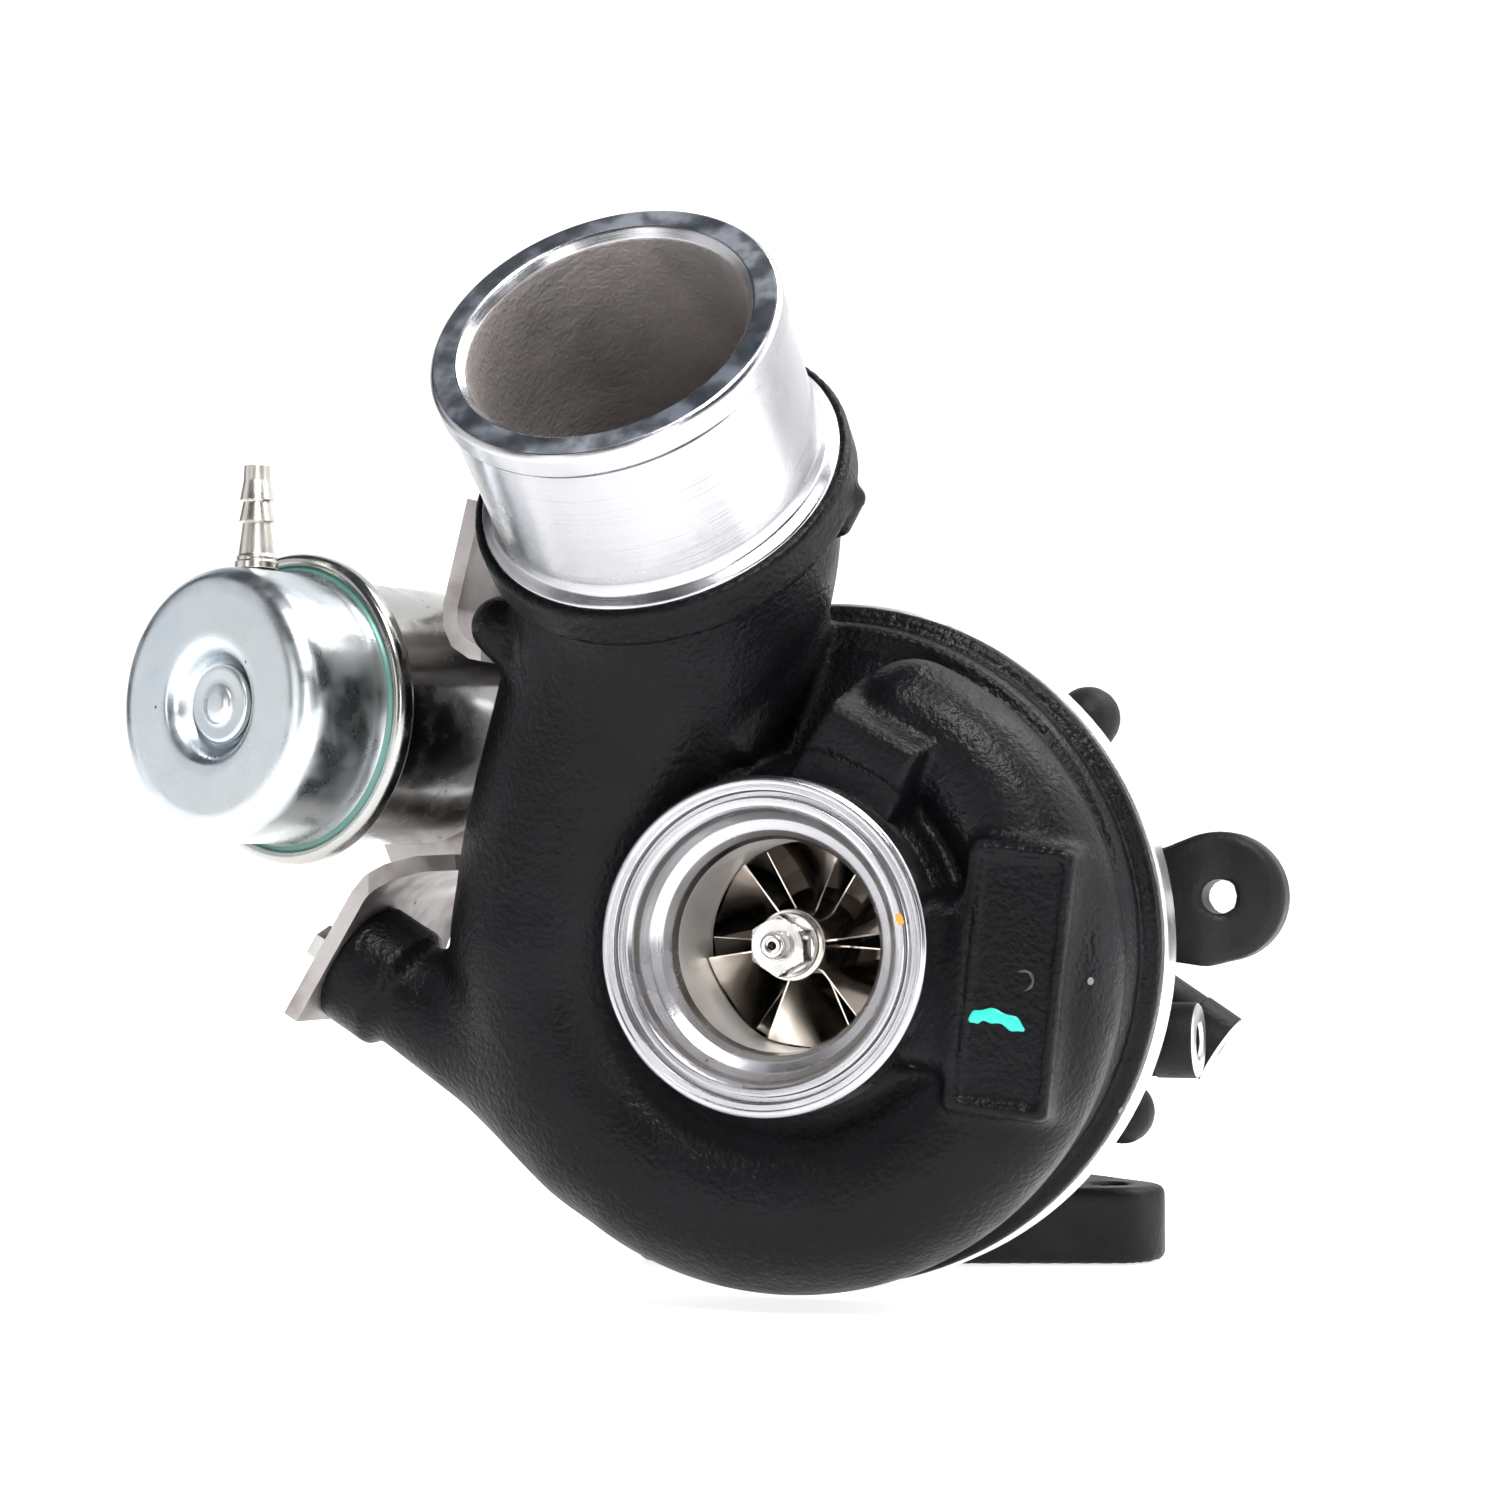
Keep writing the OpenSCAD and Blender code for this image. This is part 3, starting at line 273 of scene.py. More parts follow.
def piece(name, vertices, faces, materials, body, slot, replaces=(), marks=None, uv=None, crease=None,
        weld=False):
    """A finished piece: its mesh in the frame, its materials (marks gives each face's), and what it rides on."""
    mesh = bpy.data.meshes.new(name)
    mesh.vertices.add(len(vertices))
    mesh.vertices.foreach_set("co", at(vertices).ravel())
    faces = [np.asarray(group) for group in (faces if isinstance(faces, list) else [faces]) if len(group)]
    sizes = np.concatenate([np.full(len(group), group.shape[1]) for group in faces])
    corners = np.concatenate([group.ravel() for group in faces])
    mesh.loops.add(len(corners))
    mesh.loops.foreach_set("vertex_index", corners)
    mesh.polygons.add(len(sizes))
    mesh.polygons.foreach_set("loop_start", np.concatenate([[0], np.cumsum(sizes)[:-1]]))
    mesh.polygons.foreach_set("loop_total", sizes)
    if uv is not None:
        mesh.uv_layers.new(name="lathe").data.foreach_set("uv", uv[corners].ravel())
    for material in materials:
        mesh.materials.append(material)
    if marks is not None:
        mesh.polygons.foreach_set("material_index", marks.astype(np.int32))
    mesh.update(calc_edges=True)
    mesh.validate()
    if weld:
        shell = bmesh.new()
        shell.from_mesh(mesh)
        bmesh.ops.remove_doubles(shell, verts=shell.verts, dist=2e-6)
        bmesh.ops.dissolve_degenerate(shell, edges=shell.edges, dist=1e-7)
        bmesh.ops.recalc_face_normals(shell, faces=shell.faces)
        shell.to_mesh(mesh)
        shell.free()
    mesh.shade_smooth()
    if crease:
        mesh.set_sharp_from_angle(angle=np.radians(crease))
    made = bpy.data.objects.new(name, mesh)
    bpy.context.scene.collection.objects.link(made)
    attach(made, body)
    if replaces:
        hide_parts(*replaces)
    return made


# Shader groups that several finishes share. Each puts out a value from 0 to 1 that changes over the surface.
def effect(name, sockets, outputs):
    """An empty shader group with float inputs (name, value) and outputs. Gives its nodes, links, input and output."""
    group = bpy.data.node_groups.new(name, "ShaderNodeTree")
    for label, value in sockets:
        group.interface.new_socket(label, in_out="INPUT", socket_type="NodeSocketFloat").default_value = value
    for label in outputs:
        group.interface.new_socket(label, in_out="OUTPUT", socket_type="NodeSocketFloat")
    return group, group.nodes, group.links, group.nodes.new("NodeGroupInput"), group.nodes.new("NodeGroupOutput")


def step_in(nodes, links, value, low, high):
    """A node that maps value from low..high to 0..1, smoothly."""
    ramp = nodes.new("ShaderNodeMapRange")
    ramp.interpolation_type = "SMOOTHSTEP"
    for label, source in (("Value", value), ("From Min", low), ("From Max", high)):
        if isinstance(source, (int, float)):
            ramp.inputs[label].default_value = source
        else:
            links.new(source, ramp.inputs[label])
    return ramp.outputs["Result"]


# Grain: two sizes of rounded bumps, as coating or sand leaves. Scale counts bumps in a metre.
grain, nodes, links, given, result = effect("grain", [("Scale", 900), ("Coarse", 0.35)], ["Height"])
place = nodes.new("ShaderNodeTexCoord")
fine, broad = nodes.new("ShaderNodeTexNoise"), nodes.new("ShaderNodeTexNoise")
fewer, blend = nodes.new("ShaderNodeMath"), nodes.new("ShaderNodeMix")
fewer.operation, fewer.inputs[1].default_value = "MULTIPLY", 0.31
fine.inputs["Detail"].default_value, broad.inputs["Detail"].default_value = 2, 1
links.new(given.outputs["Scale"], fewer.inputs[0])
for noise, scale in ((fine, given.outputs["Scale"]), (broad, fewer.outputs[0])):
    links.new(place.outputs["Object"], noise.inputs["Vector"])
    links.new(scale, noise.inputs["Scale"])
links.new(given.outputs["Coarse"], blend.inputs["Factor"])
links.new(fine.outputs["Fac"], blend.inputs["A"])
links.new(broad.outputs["Fac"], blend.inputs["B"])
links.new(blend.outputs["Result"], result.inputs["Height"])

# Patches: cloudy areas of a few millimetres, for stains, wear and tarnish. Scale counts them in a metre.
patches, nodes, links, given, result = effect("patches", [("Scale", 60), ("Low", 0.45), ("High", 0.6)],
    ["Mask"])
place, noise = nodes.new("ShaderNodeTexCoord"), nodes.new("ShaderNodeTexNoise")
noise.inputs["Detail"].default_value = 5
links.new(place.outputs["Object"], noise.inputs["Vector"])
links.new(given.outputs["Scale"], noise.inputs["Scale"])
links.new(step_in(nodes, links, noise.outputs["Fac"], given.outputs["Low"], given.outputs["High"]),
    result.inputs["Mask"])

# Specks: sparse round dots, as dust or chips. Share is how many of the cells hold one.
specks, nodes, links, given, result = effect("specks", [("Scale", 220), ("Share", 0.05), ("Size", 0.16)],
    ["Mask"])
place, cells = nodes.new("ShaderNodeTexCoord"), nodes.new("ShaderNodeTexVoronoi")
pick = nodes.new("ShaderNodeSeparateColor")
chosen, dot, both = (nodes.new("ShaderNodeMath") for _ in range(3))
chosen.operation, dot.operation, both.operation = "LESS_THAN", "LESS_THAN", "MULTIPLY"
links.new(place.outputs["Object"], cells.inputs["Vector"])
links.new(given.outputs["Scale"], cells.inputs["Scale"])
links.new(cells.outputs["Color"], pick.inputs["Color"])
links.new(pick.outputs["Red"], chosen.inputs[0])
links.new(given.outputs["Share"], chosen.inputs[1])
links.new(cells.outputs["Distance"], dot.inputs[0])
links.new(given.outputs["Size"], dot.inputs[1])
links.new(chosen.outputs[0], both.inputs[0])
links.new(dot.outputs[0], both.inputs[1])
links.new(both.outputs[0], result.inputs["Mask"])


class Finish:
    """A Principled material and the few moves that every finish here is made of."""

    def __init__(self, name, colour, roughness, metallic=0.0, specular=0.5):
        self.material = bpy.data.materials.new(name)
        self.material.use_nodes = True
        self.nodes, self.links = self.material.node_tree.nodes, self.material.node_tree.links
        self.shader = self.nodes["Principled BSDF"]
        self.shader.inputs["Base Color"].default_value = (*colour, 1)
        self.shader.inputs["Roughness"].default_value = roughness
        self.shader.inputs["Metallic"].default_value = metallic
        self.shader.inputs["Specular IOR Level"].default_value = specular
        self.colour, self.roughness, self.bump = (*colour, 1), roughness, None

    def use(self, group, **values):
        """Places a shared effect and gives its output."""
        node = self.nodes.new("ShaderNodeGroup")
        node.node_tree = group
        for label, value in values.items():
            node.inputs[label].default_value = value
        return node.outputs[0]

    def lathe_lines(self, scale, stretch=1.5):
        """Fine lines that follow a turned piece's profile: noise stretched round the axis, in its own UV map."""
        uv, scaled, noise = (self.nodes.new("ShaderNode" + kind) for kind in ("UVMap", "Mapping", "TexNoise"))
        uv.uv_map = "lathe"
        scaled.inputs["Scale"].default_value = (scale, stretch, 1)
        noise.inputs["Scale"].default_value, noise.inputs["Detail"].default_value = 1, 3
        self.links.new(uv.outputs["UV"], scaled.inputs["Vector"])
        self.links.new(scaled.outputs["Vector"], noise.inputs["Vector"])
        return noise.outputs["Fac"]

    def brushed(self, scale=(900, 30, 900)):
        """Fine parallel lines: noise stretched along one direction of the frame."""
        place, scaled, noise = (self.nodes.new("ShaderNode" + kind) for kind in ("TexCoord", "Mapping", "TexNoise"))
        scaled.inputs["Scale"].default_value = scale
        noise.inputs["Scale"].default_value, noise.inputs["Detail"].default_value = 1, 2
        self.links.new(place.outputs["Object"], scaled.inputs["Vector"])
        self.links.new(scaled.outputs["Vector"], noise.inputs["Vector"])
        return noise.outputs["Fac"]

    def tint(self, mask, colour):
        """Changes the colour to another where the mask is 1."""
        mix = self.nodes.new("ShaderNodeMix")
        mix.data_type = "RGBA"
        self.links.new(mask, mix.inputs["Factor"])
        if isinstance(self.colour, tuple):
            mix.inputs["A"].default_value = self.colour
        else:
            self.links.new(self.colour, mix.inputs["A"])
        mix.inputs["B"].default_value = (*colour, 1)
        self.colour = mix.outputs["Result"]
        self.links.new(self.colour, self.shader.inputs["Base Color"])
        return self

    def rough(self, mask, value):
        """Changes the roughness to another where the mask is 1."""
        mix = self.nodes.new("ShaderNodeMix")
        self.links.new(mask, mix.inputs["Factor"])
        if isinstance(self.roughness, (int, float)):
            mix.inputs["A"].default_value = self.roughness
        else:
            self.links.new(self.roughness, mix.inputs["A"])
        mix.inputs["B"].default_value = value
        self.roughness = mix.outputs["Result"]
        self.links.new(self.roughness, self.shader.inputs["Roughness"])
        return self

    def relief(self, height, depth, strength=1.0):
        """Bumps of a depth in millimetres, over any bumps already there."""
        bump = self.nodes.new("ShaderNodeBump")
        bump.inputs["Strength"].default_value = strength
        bump.inputs["Distance"].default_value = depth / 1000
        self.links.new(height, bump.inputs["Height"])
        if self.bump:
            self.links.new(self.bump, bump.inputs["Normal"])
        self.bump = bump.outputs["Normal"]
        self.links.new(self.bump, self.shader.inputs["Normal"])
        return self


def coated_black(name, depth, colour=(0.0025, 0.0025, 0.0032), roughness=0.33):
    """Satin black powder coat over sand-cast metal: leather-like grain, duller clouds and a few pale specks."""
    coat = Finish(name, colour, roughness, 0.0, 0.13)
    coat.tint(coat.use(patches, Scale=35, Low=0.4, High=0.75), tuple(1.9 * c for c in colour))
    coat.rough(coat.use(patches, Scale=90, Low=0.35, High=0.7), roughness + 0.14)
    coat.tint(coat.use(specks, Scale=170, Share=0.018, Size=0.13), (0.16, 0.15, 0.14))
    coat.relief(coat.use(grain, Scale=800, Coarse=0.35), depth)
    return coat


black_coat = coated_black("black_coat", 0.5)
bare_cast = Finish("bare_sand_casting", (0.40, 0.365, 0.355), 0.55, 0.6)
bare_cast.tint(bare_cast.use(patches, Scale=55, Low=0.35, High=0.7), (0.30, 0.275, 0.265))
bare_cast.relief(bare_cast.use(grain, Scale=1100, Coarse=0.5), 0.5)

mouth = np.array([-21, -32.5, 119.7])
mouth_way = np.array([0, -np.sin(np.radians(52.3)), np.cos(np.radians(52.3))])
root = mouth - 40 * mouth_way
elbow_line = [(-52, 27, 2), (-48, 27, 34), root - 42 * mouth_way, root]
arm_root, arm_end = np.array([-46, 27, -37.5]), np.array([-101, 27, -4.0])
arm_way = (arm_end - arm_root) / np.linalg.norm(arm_end - arm_root)
shroud = [(0, -3), (33.0, -3), (33.0, 13.4), (23.2, 13.4), (23.2, 31), (24.2, 36), (26.2, 40), (28.4, 41.6),
    (46, 41.6), (46, 50), (0, 50)]


def passage_shape(p):
    """The air's way inside the cover: scroll, elbow and outlet bore, a wall's thickness inside the outer skin."""
    scroll = scroll_shape(p, 27, 52, 62, 242, 8.5, 20)
    elbow = elbow_shape(p, elbow_line, 20, 28.2)
    bore = disc_shape(p, root - 8 * mouth_way, mouth + 8 * mouth_way, 28.3, 0.1)
    return np.maximum(melt(np.minimum(scroll, bore), elbow, 2), p[:, 1] - 42.6)


def cover_shape(p):
    """The whole cover casting: tubes, boss and lugs run into each other with cast fillets, then its hollows."""
    x, y, z = p.T
    out = np.hypot(x, z)
    body = melt(scroll_shape(p, 27, 52, 62, 242, 13, 24.5), elbow_shape(p, elbow_line, 24.5, 36.2), 3)
    # boss round the inlet, its cone, and the web and rim that seat on the ring behind
    boss = lathe_shape(p, [(0, 14.2), (33.9, 14.2), (36.2, 16.4), (40, 32), (62, 37), (67.2, 36), (68.4, 38.5),
        (68.6, 42), (71.6, 42.6), (72.3, 43.6), (72.3, 47.5), (0, 47.5)])
    body = melt(body, boss, 5)
    # collar round the outlet's root, and the flat gusset and rounded lug under it
    body = melt(body, disc_shape(p, root - 8.5 * mouth_way, root + 0.6 * mouth_way, 39.6, 1.2), 2.2)
    body = np.maximum(body, (p - root) @ mouth_way - 0.6)
    body = melt(body, web_shape(p, (-59, 9, 66), (-26, 4.4, 65), (-37.5, 5, 33), 5.5), 1.4)
    body = melt(body, rod_shape(p, (-60, 8, 66.5), (-55, 26, 70), 5.6, 7), 4)
    body = melt(body, rod_shape(p, (17.5, 7, 90), (14, 6, 86), 2.6, 4), 1.5)
    # rib between the elbow and the boss, and the tongue where the scroll begins
    body = melt(body, rod_shape(p, (3, 22, 64), (-8, 14, 42), 4.6, 3.6), 4)
    # raised block over the inlet, its lower step cut round the boss
    q = p - np.array([21.4, 8, 43.4], np.float32)
    along, up = 0.857 * q[:, 0] - 0.515 * q[:, 2], 0.515 * q[:, 0] + 0.857 * q[:, 2]
    face = np.where(out < 40.6, 1.1, 0) + 0.12 * np.maximum(-up - 4, 0) - 0.6
    sides_of = np.maximum(np.abs(along) - 10.6 - 0.11 * q[:, 1] + 0.05 * up, up - 0.36 * q[:, 1] - 0.5)
    block = -melt(-sides_of, q[:, 1] - face, 1.6)
    block = np.maximum(np.maximum(block, -up - 22), q[:, 1] - 24)
    body = melt(body, block, 2.2)
    # pad for a plate: a raised border round a sunk panel, joined to the boss
    body = melt(body, block_shape(p, (49.0, 18, -6.5), (10.8, 12, 27.0), 6.7, 2.2), 3.2)
    body = melt(body, block_shape(p, (33.5, 17, -7.0), (9.5, 9.6, 17.0), 6.7, 4), 5)
    body = carve(body, block_shape(p, (49.4, 5.4, -6.5), (8.7, 2.0, 24.8), 6.7, 1.6), 0.5)
    # arm that carries the bracket, with its flat end
    body = melt(body, rod_shape(p, arm_root, arm_end - 14 * arm_way, 14, 11.5), 9)
    body = melt(body, disc_shape(p, arm_end - 12 * arm_way, arm_end, 14, 1.2), 4)
    body = np.maximum(body, y - 47.5)
    # hollows: air passage, seat for the machined inlet and shroud, and the outlet tube's bore
    body = carve(body, passage_shape(p), 0.3)
    body = carve(body, lathe_shape(p, shroud), 0.2)
    body = carve(body, disc_shape(p, root - 7 * mouth_way, root + 9 * mouth_way, 37.1, 0.1), 0.2)
    for side in (-7, 7):
        offset = np.array([0, side, 0])
        body = carve(body, rod_shape(p, arm_end - 11 * arm_way + offset, arm_end + 3 * arm_way + offset, 2.5,
            2.5), 0.3)
    return body


vertices, faces = cast_surface(cover_shape, (-116, -29, -78), (77, 52, 142), 1.15)
middle = vertices[faces].mean(1)
inner = np.abs(passage_shape(middle)) < 0.7
piece("cover_casting", vertices, faces, [black_coat.material, bare_cast.material], "housing", "black_casting",
    ["compressor_cover"], marks=inner)

# Outlet tube: the same casting turned bright outside, with a lip, a shoulder ring, and its rough bore left as cast.


def grid_quads(rows, columns):
    """Quads between neighbouring points of a rows x columns grid."""
    first = (np.arange(rows - 1)[:, None] * columns + np.arange(columns - 1)).ravel()
    return np.stack([first, first + 1, first + columns + 1, first + columns], 1)


def turned(outline, ease=0.3, origin=(0, 0, 0), axis=(0, 1, 0), steps=144, arc=3):
    """A closed outline of (radius, along) corners carried once round an axis. Each corner is rounded by a quadratic
    curve that starts an ease before it. Point = origin + along * axis + radius * (cos a * u + sin a * v).
    Gives vertices, quads, and a lathe map of path length in centimetres and turns."""
    corner = np.array(outline, float)
    back, ahead = np.roll(corner, 1, 0) - corner, np.roll(corner, -1, 0) - corner
    back_length, ahead_length = np.linalg.norm(back, axis=1), np.linalg.norm(ahead, axis=1)
    reach = np.minimum(np.minimum(back_length, ahead_length) * 0.45, ease) * (corner[:, 0] > 1e-6)
    first = corner + back * (reach / back_length)[:, None]
    last = corner + ahead * (reach / ahead_length)[:, None]
    t = np.linspace(0, 1, arc + 1)[None, :, None]
    line = (1 - t) ** 2 * first[:, None] + 2 * t * (1 - t) * corner[:, None] + t ** 2 * last[:, None]
    line = line.reshape(-1, 2)
    line = np.vstack([line, line[:1]])
    path = np.concatenate([[0], np.cumsum(np.linalg.norm(np.diff(line, axis=0), axis=1))])
    axis = np.array(axis, float) / np.linalg.norm(axis)
    u = np.cross(axis, (0, 0, 1) if abs(axis[2]) < 0.9 else (1, 0, 0))
    u /= np.linalg.norm(u)
    v = np.cross(axis, u)
    angle = np.linspace(0, 2 * np.pi, steps + 1)
    round_way = np.cos(angle)[:, None] * u + np.sin(angle)[:, None] * v
    vertices = np.array(origin) + line[:, None, 1:] * axis + line[:, None, :1] * round_way
    uv = np.stack(np.broadcast_arrays(path[:, None] / 10, angle / (2 * np.pi)), -1)
    return vertices.reshape(-1, 3), grid_quads(len(line), steps + 1), uv.reshape(-1, 2)


def turned_piece(name, outline, material, body, slot, replaces=(), mark=None, materials=None, **how):
    """A turned piece with its lathe map; mark(radius, along) picks the second material for some of its faces."""
    vertices, quads, uv = turned(outline, **how)
    marks = None
    if mark is not None:
        axis = np.array(how.get("axis", (0, 1, 0)), float)
        offset = vertices[quads].mean(1) - np.array(how.get("origin", (0, 0, 0)))
        along = offset @ axis
        marks = mark(np.sqrt(np.maximum((offset ** 2).sum(1) - along ** 2, 0)), along)
    made = piece(name, vertices, quads, materials or [material], body, slot, replaces, marks, uv, 38, True)
    made.modifiers.new("even_shading", "WEIGHTED_NORMAL").keep_sharp = True
    return made


def machined(name, colour, roughness, lines=0.02, scale=90.0):
    """Turned metal: fine lathe lines, duller clouds where it has been handled, and a few dark nicks."""
    metal = Finish(name, colour, roughness, 1.0)
    metal.tint(metal.use(patches, Scale=40, Low=0.48, High=0.72), tuple(0.80 * c for c in colour))
    metal.rough(metal.use(patches, Scale=70, Low=0.42, High=0.75), roughness + 0.16)
    metal.tint(metal.use(specks, Scale=190, Share=0.014, Size=0.11), (0.22, 0.20, 0.18))
    metal.relief(metal.lathe_lines(scale), lines)
    return metal


bright_turned = machined("bright_turned_aluminium", (0.50, 0.495, 0.515), 0.2, 0.03)
lip_face = Finish("handled_lip_face", (0.56, 0.585, 0.64), 0.27, 1.0)
lip_face.tint(lip_face.use(patches, Scale=75, Low=0.42, High=0.62), (0.30, 0.33, 0.39))
lip_face.rough(lip_face.use(patches, Scale=120, Low=0.4, High=0.65), 0.48)
lip_face.relief(lip_face.use(grain, Scale=2600, Coarse=0.4), 0.05)

tube = [(28.3, -9), (36.2, -9), (37.7, -7.5), (37.7, 1.0), (36.8, 1.5), (35.3, 2.2), (34.8, 4.2), (34.7, 33.8),
    (35.2, 34.2), (35.7, 34.8), (35.7, 39.0), (34.8, 40), (30.1, 40), (28.4, 38.1), (28.3, 36)]
turned_piece("cover_outlet_tube", tube, None, "housing", "machined_aluminium", origin=root, axis=mouth_way,
    ease=0.5, materials=[bright_turned.material, bare_cast.material, lip_face.material],
    mark=lambda r, along: np.where((r < 28.8) & (along < 38.2), 1,
    np.where((along > 39.9) & (r > 30.2) & (r < 34.7), 2, 0)))

# Inlet ring: the boss turned bright, with a groove in its face, a funnel, and the shroud that the wheel runs in.
shroud_metal = machined("shroud_metal", (0.95, 0.93, 0.91), 0.5, 0.012)
ring = [(33.5, 0), (34.25, 0.8), (34.25, 13.4), (23.3, 13.4), (23.3, 31), (24.3, 36), (26.3, 40), (28.5, 41.7),
    (46, 41.7),
    (46, 43.2), (27.8, 43.2), (24.6, 40), (22.6, 36), (21.6, 31), (21.6, 12.5), (22.2, 9.6), (23.4, 7.4),
    (25.6, 5.9), (27.0, 3.6),
    (27.5, 1.2), (28.3, 0.15), (29.9, 0), (29.9, 2.2), (31.2, 2.2), (31.2, 0.1), (32.6, 0.1), (32.8, 0)]
turned_piece("cover_inlet_ring", ring, None, "housing", "machined_aluminium", ease=0.35, steps=192,
    materials=[bright_turned.material, shroud_metal.material], mark=lambda r, along: (r < 30) & (along > 11.5))

# Seat ring: the compressor's back plate, turned from aluminium. Its bright rim shows all round behind the cover.
seat_metal = Finish("seat_ring_metal", (0.85, 0.85, 0.87), 0.3, 1.0)
seat_metal.rough(seat_metal.use(patches, Scale=80, Low=0.4, High=0.7), 0.45)
seat_metal.relief(seat_metal.use(grain, Scale=3000, Coarse=0.3), 0.02)

# Compressor wheel: milled from one billet. Six full blades and six splitters lean into the turn, then sweep back.


def slab(front, back):
    """A closed shell between two equal grids of points: both faces, and four strips that join their borders."""
    rows, columns = front.shape[:2]
    quads = grid_quads(rows, columns)
    rim = np.concatenate([np.arange(columns), np.arange(1, rows) * columns + columns - 1,
        (rows - 1) * columns + np.arange(columns - 2, -1, -1), np.arange(rows - 2, 0, -1) * columns])
    ahead, far = np.roll(rim, -1), rows * columns
    return (np.concatenate([front.reshape(-1, 3), back.reshape(-1, 3)]),
        np.concatenate([quads[:, ::-1], quads + far, np.stack([rim, ahead, ahead + far, rim + far], 1)]))


def bezier(points, t):
    """Point on the curve of any degree with these control points, by repeated halving between neighbours."""
    points = [np.array(p, float)[None, :] for p in points]
    t = t[:, None]
    while len(points) > 1:
        points = [a * (1 - t) + b * t for a, b in zip(points, points[1:])]
    return points[0]


def blades(hub, tip, count, start, twist, thick, first=0.0, turn=0.0, rows=30, columns=14):
    """Curved blades about the shaft. A blade's middle runs along meridian curves from hub to tip, turned by
    twist(u) degrees at a share u of its length; its two faces stand half its thickness either side."""
    u = np.linspace(start, 1, rows)
    low, high = bezier(hub, u), bezier(tip, u)
    share = np.linspace(-0.03, 1, columns)[None, :, None]
    line = low[:, None] * (1 - share) + high[:, None] * share
    radius, along = line[..., 0], line[..., 1]
    half = 0.5 * (thick[0] + (thick[1] - thick[0]) * share[..., 0])
    half = half * np.minimum(1, 0.35 + 6 * (u - start))[:, None]
    vertices, faces, offset = [], [], 0
    for k in range(count):
        angle = np.radians(turn + first + 360 * k / count + twist(u))[:, None]
        sides = [np.stack([radius * np.cos(angle + side * half / radius), along,
            radius * np.sin(angle + side * half / radius)], -1) for side in (1, -1)]
        v, f = slab(*sides)
        vertices.append(v)
        faces.append(f + offset)
        offset += len(v)
    return np.concatenate(vertices), np.concatenate(faces)


def joined(*parts):
    """Several (vertices, quads) shells as one."""
    offsets = np.cumsum([0] + [len(v) for v, _ in parts[:-1]])
    return np.concatenate([v for v, _ in parts]), np.concatenate([f + o for (_, f), o in zip(parts, offsets)])


wheel_metal = Finish("milled_wheel", (0.66, 0.60, 0.54), 0.13, 1.0)
wheel_metal.rough(wheel_metal.use(patches, Scale=140, Low=0.4, High=0.7), 0.26)
wheel_metal.relief(wheel_metal.brushed((500, 1500, 500)), 0.012)
hub_line = [(7.4, 28.4), (7.6, 38), (11, 45.2), (27, 46.5)]
tip_line = [(21.2, 29), (21.1, 34.5), (22.4, 41), (26.9, 43.2)]
lean = lambda u: 36 * (1 - (1 - u) ** 2.3) + 14 * u ** 3
hub_shape = turned([(2.55, 20.05), (7.4, 20.05), (7.4, 26), (7.6, 30), (8.3, 34.5), (9.6, 38.4), (12.2, 42),
    (17, 45), (22, 46.2), (27, 46.7), (27, 47.6), (10, 48.4), (8, 52), (2.55, 52)], ease=0.4, steps=120)[:2]
wheel = joined(hub_shape, blades(hub_line, tip_line, 6, 0.0, lean, (1.1, 0.55), turn=8),
    blades(hub_line, tip_line, 6, 0.26, lean, (1.0, 0.5), first=30, turn=8))
piece("compressor_wheel_milled", *wheel, [wheel_metal.material], "rotor", "nickel_wheel", ["compressor_wheel"],
    crease=32, weld=True)

# Shaft nut: a flanged hexagon with turned chamfers, on the shaft's threaded end.


def hexagon_bar(flats, bottom, top, bore, chamfer=0.9, rows=6, steps=180):
    """A hexagonal bar with a turned chamfer at the top. Radius = flats/2 over the cosine of the angle from the nearest
    flat, and never more than a cone that narrows towards the end."""
    angle = np.linspace(0, 2 * np.pi, steps + 1)
    flat = flats / 2 / np.cos((angle + np.pi / 6) % (np.pi / 3) - np.pi / 6)
    depth = np.concatenate([[0], np.linspace(0, chamfer, rows), [abs(top - bottom)]])
    cone = flats / 2 - 0.15 + depth * 1.6
    radius = np.minimum(flat[None], cone[:, None])
    radius[0] = bore
    along = top + np.sign(bottom - top) * depth
    body = np.stack([radius * np.cos(angle), np.broadcast_to(along[:, None], radius.shape),
        radius * np.sin(angle)], -1)
    hole = np.stack([bore * np.cos(angle), np.full_like(angle, bottom), bore * np.sin(angle)], -1)
    grid = np.concatenate([body, hole[None], body[:1]])
    return grid.reshape(-1, 3), grid_quads(len(grid), steps + 1)


def thread(radius, depth, pitch, low, high, steps=64):
    """A screw thread: radius falls from the crest by the depth times a triangle wave of station plus turns."""
    along = np.linspace(low, high, int((high - low) / pitch * 10) + 1)
    angle = np.linspace(0, 2 * np.pi, steps + 1)
    phase = (along[:, None] / pitch + angle / (2 * np.pi)) % 1
    r = radius - depth * (1 - np.abs(2 * phase - 1))
    grid = np.stack([r * np.cos(angle), np.broadcast_to(along[:, None], r.shape), r * np.sin(angle)], -1)
    core = grid * [0.75, 1, 0.75]
    return np.concatenate([core[:1], grid, core[::-1]]).reshape(-1, 3), grid_quads(2 * len(grid) + 1, steps + 1)


